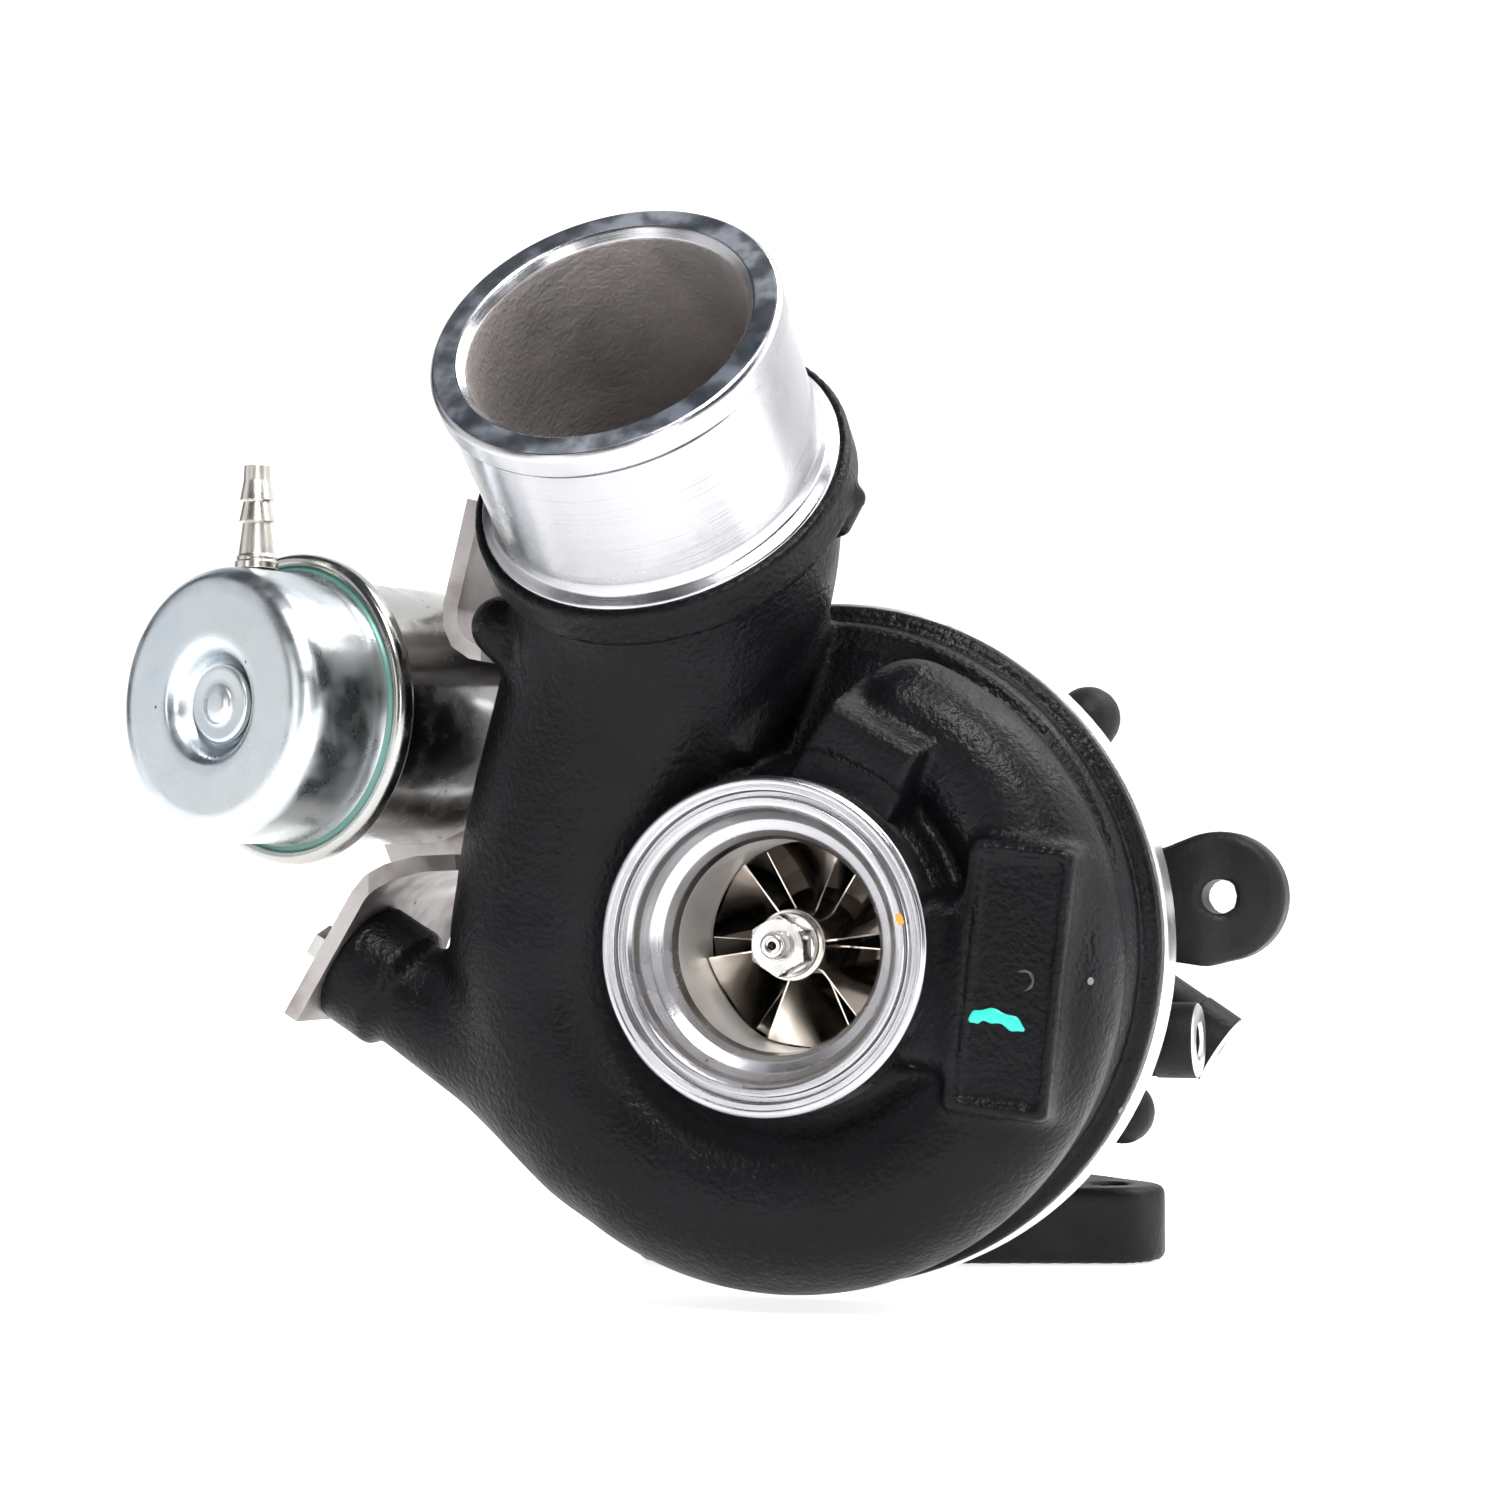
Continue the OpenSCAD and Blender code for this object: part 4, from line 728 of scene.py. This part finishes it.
polished_steel = Finish("polished_steel", (0.74, 0.72, 0.70), 0.14, 1.0)
polished_steel.rough(polished_steel.use(patches, Scale=260, Low=0.4, High=0.7), 0.3)
polished_steel.relief(polished_steel.use(grain, Scale=4000, Coarse=0.3), 0.01)
nut = joined(hexagon_bar(11, 17, 11, 2.4), turned([(2.4, 16.8), (5.6, 16.8), (6.7, 17.6), (6.7, 20), (2.4, 20)],
    ease=0.3, steps=96)[:2])
piece("shaft_nut_flanged", *nut, [polished_steel.material], "rotor", "bright_steel", ["shaft_nut"], crease=25,
    weld=True)
end = joined(thread(2.95, 0.35, 0.8, 8.4, 12), turned([(0.9, 7.6), (2.2, 7.6), (2.75, 8.4), (2.6, 11.5),
    (0.9, 11.5)], ease=0.2, steps=64)[:2])
piece("shaft_threaded_end", *end, [polished_steel.material], "rotor", "bright_steel", crease=30, weld=True)

# Centre housing: a cast body between two flanges, with oil bosses, a lug, and two coolant ports whose faces are
# machined bright.
port_a, port_b = np.array([74, 78, -21.0]), np.array([76, 95, -24.0])
port_b_way = np.array([np.cos(np.radians(34)), 0, -np.sin(np.radians(34))])


def holes(p, ends, r):
    """Round holes from point to point, all of one radius."""
    return np.minimum.reduce([disc_shape(p, np.array(a, float), np.array(b, float), r, 0.05) for a, b in ends])


def ring_points(count, first, r, s):
    """Points spread evenly on a circle about the shaft at a station."""
    turn = np.radians(first + np.arange(count) * 360 / count)
    return [np.array([r * np.cos(a), s, -r * np.sin(a)]) for a in turn]


def centre_shape(p):
    """Spool-shaped body with its bosses melted on, then the stepped bore, oil ways and screw holes."""
    body = lathe_shape(p, [(0, 57.5), (69.6, 57.5), (70.6, 58.5), (70.6, 62.5), (69.6, 63.5), (40, 63.5),
        (30, 67), (26, 72), (26, 98), (28, 103), (30.8, 108), (37.8, 108), (37.8, 114), (0, 114)])
    body = melt(body, disc_shape(p, (0, 85.5, 10), (0, 85.5, 36), 12, 1), 3)
    body = melt(body, disc_shape(p, (0, 85.5, -44), (0, 85.5, -10), 14, 1), 3)
    body = melt(body, block_shape(p, (0, 85.5, -42), (24, 11, 4), 0, 2), 2)
    body = melt(body, block_shape(p, (44, 79, 8), (33, 4.9, 12), 0, 2), 5)
    body = melt(body, disc_shape(p, (79, 74, 10), (79, 84, 10), 14, 1.6), 5)
    body = melt(body, rod_shape(p, (10, 82, -12), port_a - (20, 0, 0), 10, 8.6), 4)
    body = melt(body, disc_shape(p, port_a - (22, 0, 0), port_a - (1.5, 0, 0), 7.9, 0.6), 1.5)
    body = melt(body, rod_shape(p, (20, 91, -10), port_b - 24 * port_b_way, 9, 7.8), 4)
    body = melt(body, disc_shape(p, port_b - 26 * port_b_way, port_b - 1.5 * port_b_way, 7.9, 0.6), 1.5)
    body = carve(body, lathe_shape(p, [(0, 56), (18.4, 56), (18.4, 59.1), (19, 59.1), (19, 60.6), (16.4, 60.6),
        (16.4, 65.2), (12, 65.2), (12, 68.2), (6.4, 68.2), (6.4, 103), (9.5, 103), (9.5, 106), (8.9, 106),
        (8.9, 115), (0, 115)]), 0.1)
    oil = [((0, 85.5, -52), (0, 85.5, -2))]
    body = carve(body, np.minimum(holes(p, oil, 9), holes(p, [((0, 85.5, 22), (0, 85.5, 40))], 5.1)), 0.2)
    body = carve(body, holes(p, [((x, 85.5, -50), (x, 85.5, -36)) for x in (-18, 18)], 3.4), 0.2)
    body = carve(body, holes(p, [((79, 70, 10), (79, 90, 10))], 3.75), 0.5)
    body = carve(body, holes(p, [(port_a - (16, 0, 0), port_a + (2, 0, 0)),
        (port_b - 16 * port_b_way, port_b + 2 * port_b_way)], 5), 0.2)
    back = np.array([0, 1, 0])
    through = [(q, q + 8 * back) for q in ring_points(8, 22.5, 64, 56)]
    heads = [(q, q + 12 * back) for q in ring_points(8, 22.5, 64, 63.5)]
    return carve(carve(body, holes(p, heads, 5.2), 0.3), holes(p, through, 2.8), 0.2)


hot_coat = coated_black("black_heat_coat", 0.22, (0.008, 0.0078, 0.0078), 0.42)
vertices, faces = cast_surface(centre_shape, (-73, 56, -73), (95, 116, 73), 1.5)
piece("centre_casting", vertices, faces, [hot_coat.material], "housing", "black_casting", ["centre_housing"])
port_metal = machined("port_metal", (0.62, 0.61, 0.60), 0.3)
for name, port, way in (("coolant_port_side", port_a, (1, 0, 0)), ("coolant_port_low", port_b, port_b_way)):
    turned_piece(name, [(3.4, -16), (3.4, -0.9), (4.3, 0), (7.5, 0), (8.2, -0.6), (8.2, -9), (7.2, -9.6),
        (7.2, -16)], None, "housing", "black_casting", origin=port, axis=way, ease=0.25, steps=72,
        materials=[hot_coat.material, port_metal.material], mark=lambda r, along: (along > -0.7) & (r < 7.9))

# Turbine housing: the hot casting. A foot with three bolts, a neck into its scroll, and an outlet chamber behind.
foot = -1000 * inlet
can_turn = np.radians(18.5)
can_middle = np.array([-113.2, 19.1, 50.8])
can_x, rod_way = np.array([np.cos(can_turn), -np.sin(can_turn), 0]), np.array([np.sin(can_turn),
    np.cos(can_turn), 0])
lean_of_lever = -np.sqrt(30 * 30 - 25)


def from_can(x, y, z):
    """A point given in the actuator's frame: x across, y back along the rod, z up from the crimp's centre."""
    return can_middle + x * can_x + y * rod_way + np.array([0, 0, z])


spindle, valve = from_can(0, 151, lean_of_lever), from_can(36, 149, -12)
bolt_places = [(-38, -24), (38, -24), (-47, 64), (3, 64)]
foot_holes = [foot + 56.5 * np.array([np.cos(a), np.sin(a),
    0]) for a in np.radians(18.7 + np.array([90, 210, 330]))]


def outlet_outline(p, grow):
    """Distance across the shaft from the outlet chamber's outline: two circles joined by their tangents."""
    flat = p * np.array([1, 0, 1], np.float32)
    return rod_shape(flat, (0, 0, 0), (-31, 0, 38.8), 31 + grow, 19 + grow)


def turbine_shape(p):
    """Foot, neck, scroll, body and outlet chamber melted together, then the gas ways and all the bores."""
    y, z = p[:, 1], p[:, 2]
    flat = p.copy()
    flat[:, 2] = foot[2]
    plate = -melt(-web_shape(flat, *foot_holes, 13), 8.75 - np.abs(z - foot[2] - 8.75), 2.4)
    neck = np.maximum(rod_shape(p, foot + (0, 0, 10), foot + (-18, -11, 58), 29, 25), foot[2] - z)
    body = melt(neck, scroll_shape(p, 128, 42, 205, 325, 19.8, 12), 6)
    body = melt(body, disc_shape(p, (0, 110, 0), (0, 122, 0), 46, 1.5), 4)
    body = melt(body, disc_shape(p, (0, 116, 0), (0, 150, 0), 40, 2), 5)
    body = melt(body, rod_shape(p, (26, 119, 32), (41, 119, 51.5), 9, 7.5), 2)
    body = melt(body, rod_shape(p, (30, 119, -24), (48.5, 119, -39.5), 9, 7.5), 2)
    body = melt(body, np.maximum(outlet_outline(p, 6), np.abs(y - 158) - 16), 4)
    flange = np.minimum.reduce([outlet_outline(p, 8)] + [rod_shape(p * np.array([1, 0, 1], np.float32),
        (x, 0, h), (x * 0.3 - 8, 0, h * 0.4 + 8), 8, 20) for x, h in bolt_places])
    body = melt(body, np.maximum(flange, np.abs(y - 169.5) - 4.5), 1.5)
    body = melt(body, disc_shape(p, spindle - 4 * can_x, spindle + 24 * can_x, 9, 1), 2.5)
    body = np.maximum(melt(np.maximum(body, y - 174), plate, 4), foot[2] - z)
    body = carve(body, lathe_shape(p, [(0, 104), (38.4, 104), (38.4, 116), (34.6, 116), (34.6, 116.6),
        (30, 116.6), (30, 123.9), (24.4, 123.9),
        (21.8, 128.5), (21, 133.5), (21, 144), (24, 148.5), (0, 148.5)]), 0.1)
    chamber = np.maximum(outlet_outline(p, 0), 148 - y)
    seat = disc_shape(p, valve - 20 * rod_way, valve - 0.25 * rod_way, 11.2, 0.1)
    chamber = np.minimum(np.maximum(chamber, -seat), disc_shape(p, valve - 0.25 * rod_way, valve + 14 * rod_way,
        12.9, 0.1))
    chamber = np.minimum(chamber, disc_shape(p, spindle + 29 * can_x, spindle + 43 * can_x, 7.9, 0.1))
    body = carve(body, chamber, 0.5)
    body = carve(body, rod_shape(p, foot + (0, 0, -20), foot + (-20, -11, 70), 21, 19), 0.5)
    body = carve(body, scroll_shape(p, 128, 40, 195, 305, 15, 6), 0.3)
    body = carve(body, holes(p, [(valve - 22 * rod_way, valve + 18 * rod_way)], 8.5), 0.2)
    body = carve(body, holes(p, [(spindle - 10 * can_x, spindle + 50 * can_x)], 6.3), 0.2)
    up, back = np.array([0, 0, 1]), np.array([0, 1, 0])
    body = carve(body, holes(p, [(q - up, q + 19 * up) for q in foot_holes], 4.5), 0.4)
    body = carve(body, holes(p, [(np.array([x, 160, h]), np.array([x, 176, h])) for x, h in bolt_places], 3.4),
        0.3)
    return carve(body, holes(p, [(q, q + 8 * back) for q in ring_points(3, 30, 42, 108)], 2.8), 0.2)


vertices, faces = cast_surface(turbine_shape, (-80, 85, foot[2] - 3), (64, 218, 92), 1.5)
piece("turbine_casting", vertices, faces, [hot_coat.material], "housing", "black_hot_casting",
    ["turbine_housing"])

# Actuator: zinc-plated pressings. The front can has a dimple with a button in it, and the rear can's edge is
# crimped over the front can's.


def plated(name, colour, roughness):
    """Zinc plate: bluish white with faint straw and blue clouds, tiny dark pits, and a soft rolled surface."""
    zinc = Finish(name, colour, roughness, 1.0)
    zinc.tint(zinc.use(patches, Scale=24, Low=0.47, High=0.72),
        tuple(c * k for c, k in zip(colour, (0.98, 0.95, 0.88))))
    zinc.tint(zinc.use(patches, Scale=52, Low=0.50, High=0.74),
        tuple(c * k for c, k in zip(colour, (0.90, 0.93, 0.96))))
    zinc.tint(zinc.use(specks, Scale=420, Share=0.02, Size=0.16), (0.16, 0.13, 0.10))
    zinc.rough(zinc.use(patches, Scale=160, Low=0.4, High=0.7), roughness + 0.14)
    zinc.relief(zinc.use(grain, Scale=900, Coarse=0.6), 0.02)
    return zinc


front_zinc = plated("front_zinc", (0.56, 0.60, 0.63), 0.27)
rear_zinc = plated("rear_zinc", (0.42, 0.42, 0.405), 0.17)
sealant = Finish("green_sealant", (0.10, 0.22, 0.19), 0.35, 0.3)
on_rod = dict(origin=can_middle, axis=rod_way)
front = [(7, -20.2), (9.2, -20.6), (10.4, -21.9), (11.6, -24.1), (13.4, -25.4), (15, -25.6), (24.6, -25.6),
    (27.4, -24.5), (29.1, -22.2), (29.5, -20),
    (29.5, -4.4), (30.2, -2.2), (31.6, -1.2), (32.4, -0.6), (32.4, 0.7), (31, 0.7), (28.3, -1.6),
    (28.1, -4), (28.1, -19.8), (26.6, -23), (24, -24.2),
    (15, -24.2), (12.8, -22.6), (11.2, -19.6), (9.6, -18.8), (7, -18.8)]
turned_piece("front_can_pressing", front, None, "housing", "zinc_plate", ["front_can"], ease=1.6, steps=192,
    arc=5, materials=[front_zinc.material, sealant.material],
    mark=lambda r, along: (along > -2.6) & (r > 29.7), **on_rod)
turned_piece("can_button", [(0, -23.9), (2.4, -23.75), (3.9, -23.1), (4.4, -22.6), (5.2, -22.5), (7.6, -22.7),
    (8.4, -22.3), (8.5, -21.2), (6.8, -19.6),
    (4.9, -18.4), (0, -18.4)], front_zinc.material, "housing", "zinc_plate",
    ["can_rivet"], ease=0.5, steps=96, **on_rod)
rear = [(31.0, -1.4), (31.2, -2.1), (32.2, -2.5), (33.4, -2.0), (34, -0.8), (34, 1.2), (33.5, 2.1), (32.4, 2.5),
    (31.2, 2.5), (29.8, 3.2), (29, 4.8), (29, 38.5),
    (28.3, 41.8), (26.2, 44.3), (23.8, 45), (6.0, 45), (6.0, 43.6), (23.6, 43.6), (26, 42.2), (27.5, 38.4),
    (27.5, 3.6), (29.4, 1.9), (32.8, 1.3), (33, 0.9), (33, -1.1)]
turned_piece("rear_can_pressing", rear, rear_zinc.material, "housing", "zinc_plate", ["rear_can"], ease=0.7,
    steps=192, **on_rod)
barb = [(1.4, 27), (3.2, 27), (3.2, 29.4), (4.7, 29.7), (4.7, 31.2), (4.3, 31.4), (4.3, 32.2), (3.9, 32.8),
    (3.0, 39.6), (3.85, 39.8), (2.95, 44.2), (3.75, 44.4), (2.9, 48.8), (2.8, 52), (1.7, 52), (1.4, 51.6)]
turned_piece("hose_barb_turned", barb, machined("barb_metal", (0.66, 0.64, 0.58), 0.24).material, "housing",
    "zinc_fastener", ["hose_barb"], ease=0.15, steps=64, origin=from_can(0, -12, 0), axis=(0, 0, 1))


# Spring inside the can: a coil from the piston's cup to the rear can.
turns, wire, coil_r, coil_from, coil_to = 5, 1.35, 16, 1.0, 38.2
bend = np.linspace(0, 2 * np.pi * turns, 32 * turns + 1)
along = coil_from + (coil_to - coil_from) * bend / bend[-1]
outward = np.cos(bend)[:, None] * can_x + np.sin(bend)[:, None] * np.array([0, 0, 1.0])
middle = can_middle + coil_r * outward + along[:, None] * rod_way
round_wire = np.linspace(0, 2 * np.pi, 13)[None, :, None]
coil = middle[:, None] + wire * (np.cos(round_wire) * outward[:, None] + np.sin(round_wire) * rod_way)
coil = np.concatenate([np.repeat(middle[:1, None], 13, 1), coil, np.repeat(middle[-1:, None], 13, 1)])
spring_steel = Finish("spring_steel", (0.20, 0.20, 0.21), 0.3, 1.0)
spring_steel.tint(spring_steel.use(patches, Scale=200, Low=0.4, High=0.7), (0.12, 0.12, 0.15))
spring = piece("coil_spring", coil.reshape(-1, 3), grid_quads(len(coil), 13), [spring_steel.material],
    "housing", "spring_steel", ["actuator_spring"], weld=True)
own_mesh(spring)

record = frame["record"]
slot_of = {row["node"]: row["material_slot"] for row in record["subparts"]}
body_of = {node: body for body, nodes_of_body in record["behaviour"]["bodies"].items() for node in nodes_of_body}

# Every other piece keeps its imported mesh. The ones that show get rounded edges, and all get a finish by material.


def finished(name, edge=0.3):
    """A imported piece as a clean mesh: corners merged, flat faces rejoined, and its edges rounded."""
    source = frame["nodes"][name]
    mesh = source.data.copy()
    shell = bmesh.new()
    shell.from_mesh(mesh)
    bmesh.ops.remove_doubles(shell, verts=shell.verts, dist=2e-6)
    bmesh.ops.dissolve_limit(shell, angle_limit=np.radians(2), verts=shell.verts, edges=shell.edges)
    shell.to_mesh(mesh)
    shell.free()
    mesh.shade_smooth()
    made = bpy.data.objects.new(name + "_finished", mesh)
    bpy.context.scene.collection.objects.link(made)
    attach(made, body_of[name])
    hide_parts(name)
    bevel = made.modifiers.new("rounded_edges", "BEVEL")
    bevel.width, bevel.segments, bevel.limit_method, bevel.angle_limit = edge / 1000, 2, "ANGLE", np.radians(30)
    bevel.harden_normals = False
    made.modifiers.new("even_shading", "WEIGHTED_NORMAL").keep_sharp = True
    return made




screw_black = coated_black("screw_black", 0.02, (0.012, 0.012, 0.013), 0.32)
bearing_bronze = Finish("bearing_bronze", (0.52, 0.30, 0.13), 0.25, 1.0)
bearing_bronze.relief(bearing_bronze.use(grain, Scale=3500, Coarse=0.3), 0.02)
hot_alloy = Finish("hot_alloy", (0.30, 0.27, 0.25), 0.42, 1.0)
hot_alloy.tint(hot_alloy.use(patches, Scale=90, Low=0.42, High=0.7), (0.22, 0.16, 0.12))
hot_alloy.relief(hot_alloy.use(grain, Scale=1600, Coarse=0.5), 0.06)
stainless = Finish("stainless_sheet", (0.50, 0.47, 0.43), 0.3, 1.0)
stainless.rough(stainless.use(patches, Scale=120, Low=0.4, High=0.7), 0.5)
stainless.relief(stainless.brushed(), 0.015)
fastener = plated("fastener_zinc", (0.50, 0.49, 0.46), 0.28)
rolled_steel = Finish("rolled_steel_plate", (0.46, 0.43, 0.42), 0.38, 1.0)
rolled_steel.tint(rolled_steel.use(patches, Scale=70, Low=0.45, High=0.75), (0.27, 0.24, 0.23))
rolled_steel.tint(rolled_steel.use(specks, Scale=300, Share=0.05, Size=0.2), (0.13, 0.11, 0.10))
rolled_steel.rough(rolled_steel.use(patches, Scale=130, Low=0.35, High=0.7), 0.55)
rolled_steel.relief(rolled_steel.use(grain, Scale=1500, Coarse=0.5), 0.07)
rubber = Finish("black_rubber", (0.015, 0.015, 0.016), 0.7)
rubber.relief(rubber.use(grain, Scale=2500, Coarse=0.4), 0.03)

slot_finish = {"black_casting": hot_coat, "black_hot_casting": hot_coat, "machined_aluminium": seat_metal,
    "black_screws": screw_black,
    "nickel_wheel": wheel_metal, "bright_steel": polished_steel, "bearing_bronze": bearing_bronze,
    "spring_steel": spring_steel, "hot_alloy": hot_alloy, "stainless_sheet": stainless,
    "zinc_fastener": fastener, "zinc_plate": rear_zinc, "steel_plate": rolled_steel, "black_rubber": rubber}
remade = ["cover_screws", "clamp_plates", "clamp_bolts", "outer_lever", "inner_lever", "wastegate_valve",
    "valve_washer", "lever_pin",
    "rod_end", "rod_locknut", "can_nuts", "can_studs", "actuator_bracket", "bracket_bolts", "rod_gland"]
for name in remade:
    made = finished(name, 0.45 if name == "actuator_bracket" else 0.25)
    made.data.materials.clear()
    made.data.materials.append(slot_finish[slot_of[name]].material)
for name, slot in slot_of.items():
    for made in [frame["nodes"][name]] if name in frame["nodes"] else []:
        made.data.materials.clear()
        made.data.materials.append(slot_finish[slot].material)

# Small marks left by handling: a stroke of teal paint and a punch mark on the pad, and two orange dabs on the ring.


def dab(name, colour, body_slot, path, width, normal, height=0.08):
    """A thin stroke of paint: a closed strip along a path, pointed at its ends, that lies on the surface."""
    path, normal = np.array(path, float), np.array(normal, float)
    t = np.linspace(0, 1, 24)
    line = bezier(path, t)
    along = np.gradient(line, axis=0)
    side = np.cross(along, normal)
    side /= np.linalg.norm(side, axis=1)[:, None]
    half = width / 2 * np.minimum(1, 5 * np.minimum(t + 0.05, 1.05 - t)) * (1 + 0.18 * np.sin(17 * t))
    across = np.linspace(-1, 1, 7)[None, :, None]
    lift = height * np.sqrt(1.02 - across ** 2)
    top = line[:, None] + side[:, None] * half[:, None, None] * across + normal * lift
    bottom = line[:, None] + side[:, None] * half[:, None, None] * across - normal * height
    paint = Finish(name, colour, 0.35)
    paint.relief(paint.use(grain, Scale=900, Coarse=0.5), 0.1)
    piece(name, *slab(top, bottom), [paint.material], "housing", body_slot, weld=True)


dab("teal_stroke", (0.02, 0.52, 0.42), "black_casting", [(41.0, 7.36, -14.6), (44, 7.36, -12.2),
    (48, 7.36, -13.6), (52.2, 7.36, -16.3)], 2.6, (0, -1, 0))
dab("punch_mark", (0.035, 0.035, 0.038), "black_casting",
    [(50.9, 7.36, -4.9), (53.6, 7.36, -3.6), (55.6, 7.36, -7.2), (52.2, 7.36, -8.6)], 0.6, (0, -1, 0), 0.2)
dab("orange_dab_inner", (0.75, 0.26, 0.02), "machined_aluminium",
    [(24.1, 6.6, 7.6), (23.2, 7.2, 7.2), (22.1, 8.8, 6.9)], 1.5, (-0.75, -0.6, -0.25))
dab("orange_dab_outer", (0.75, 0.26, 0.02), "machined_aluminium",
    [(28.5, 0.02, 6.6), (29.0, 0.02, 5.4), (29.5, 0.02, 4.4)], 1.3, (0, -1, 0))
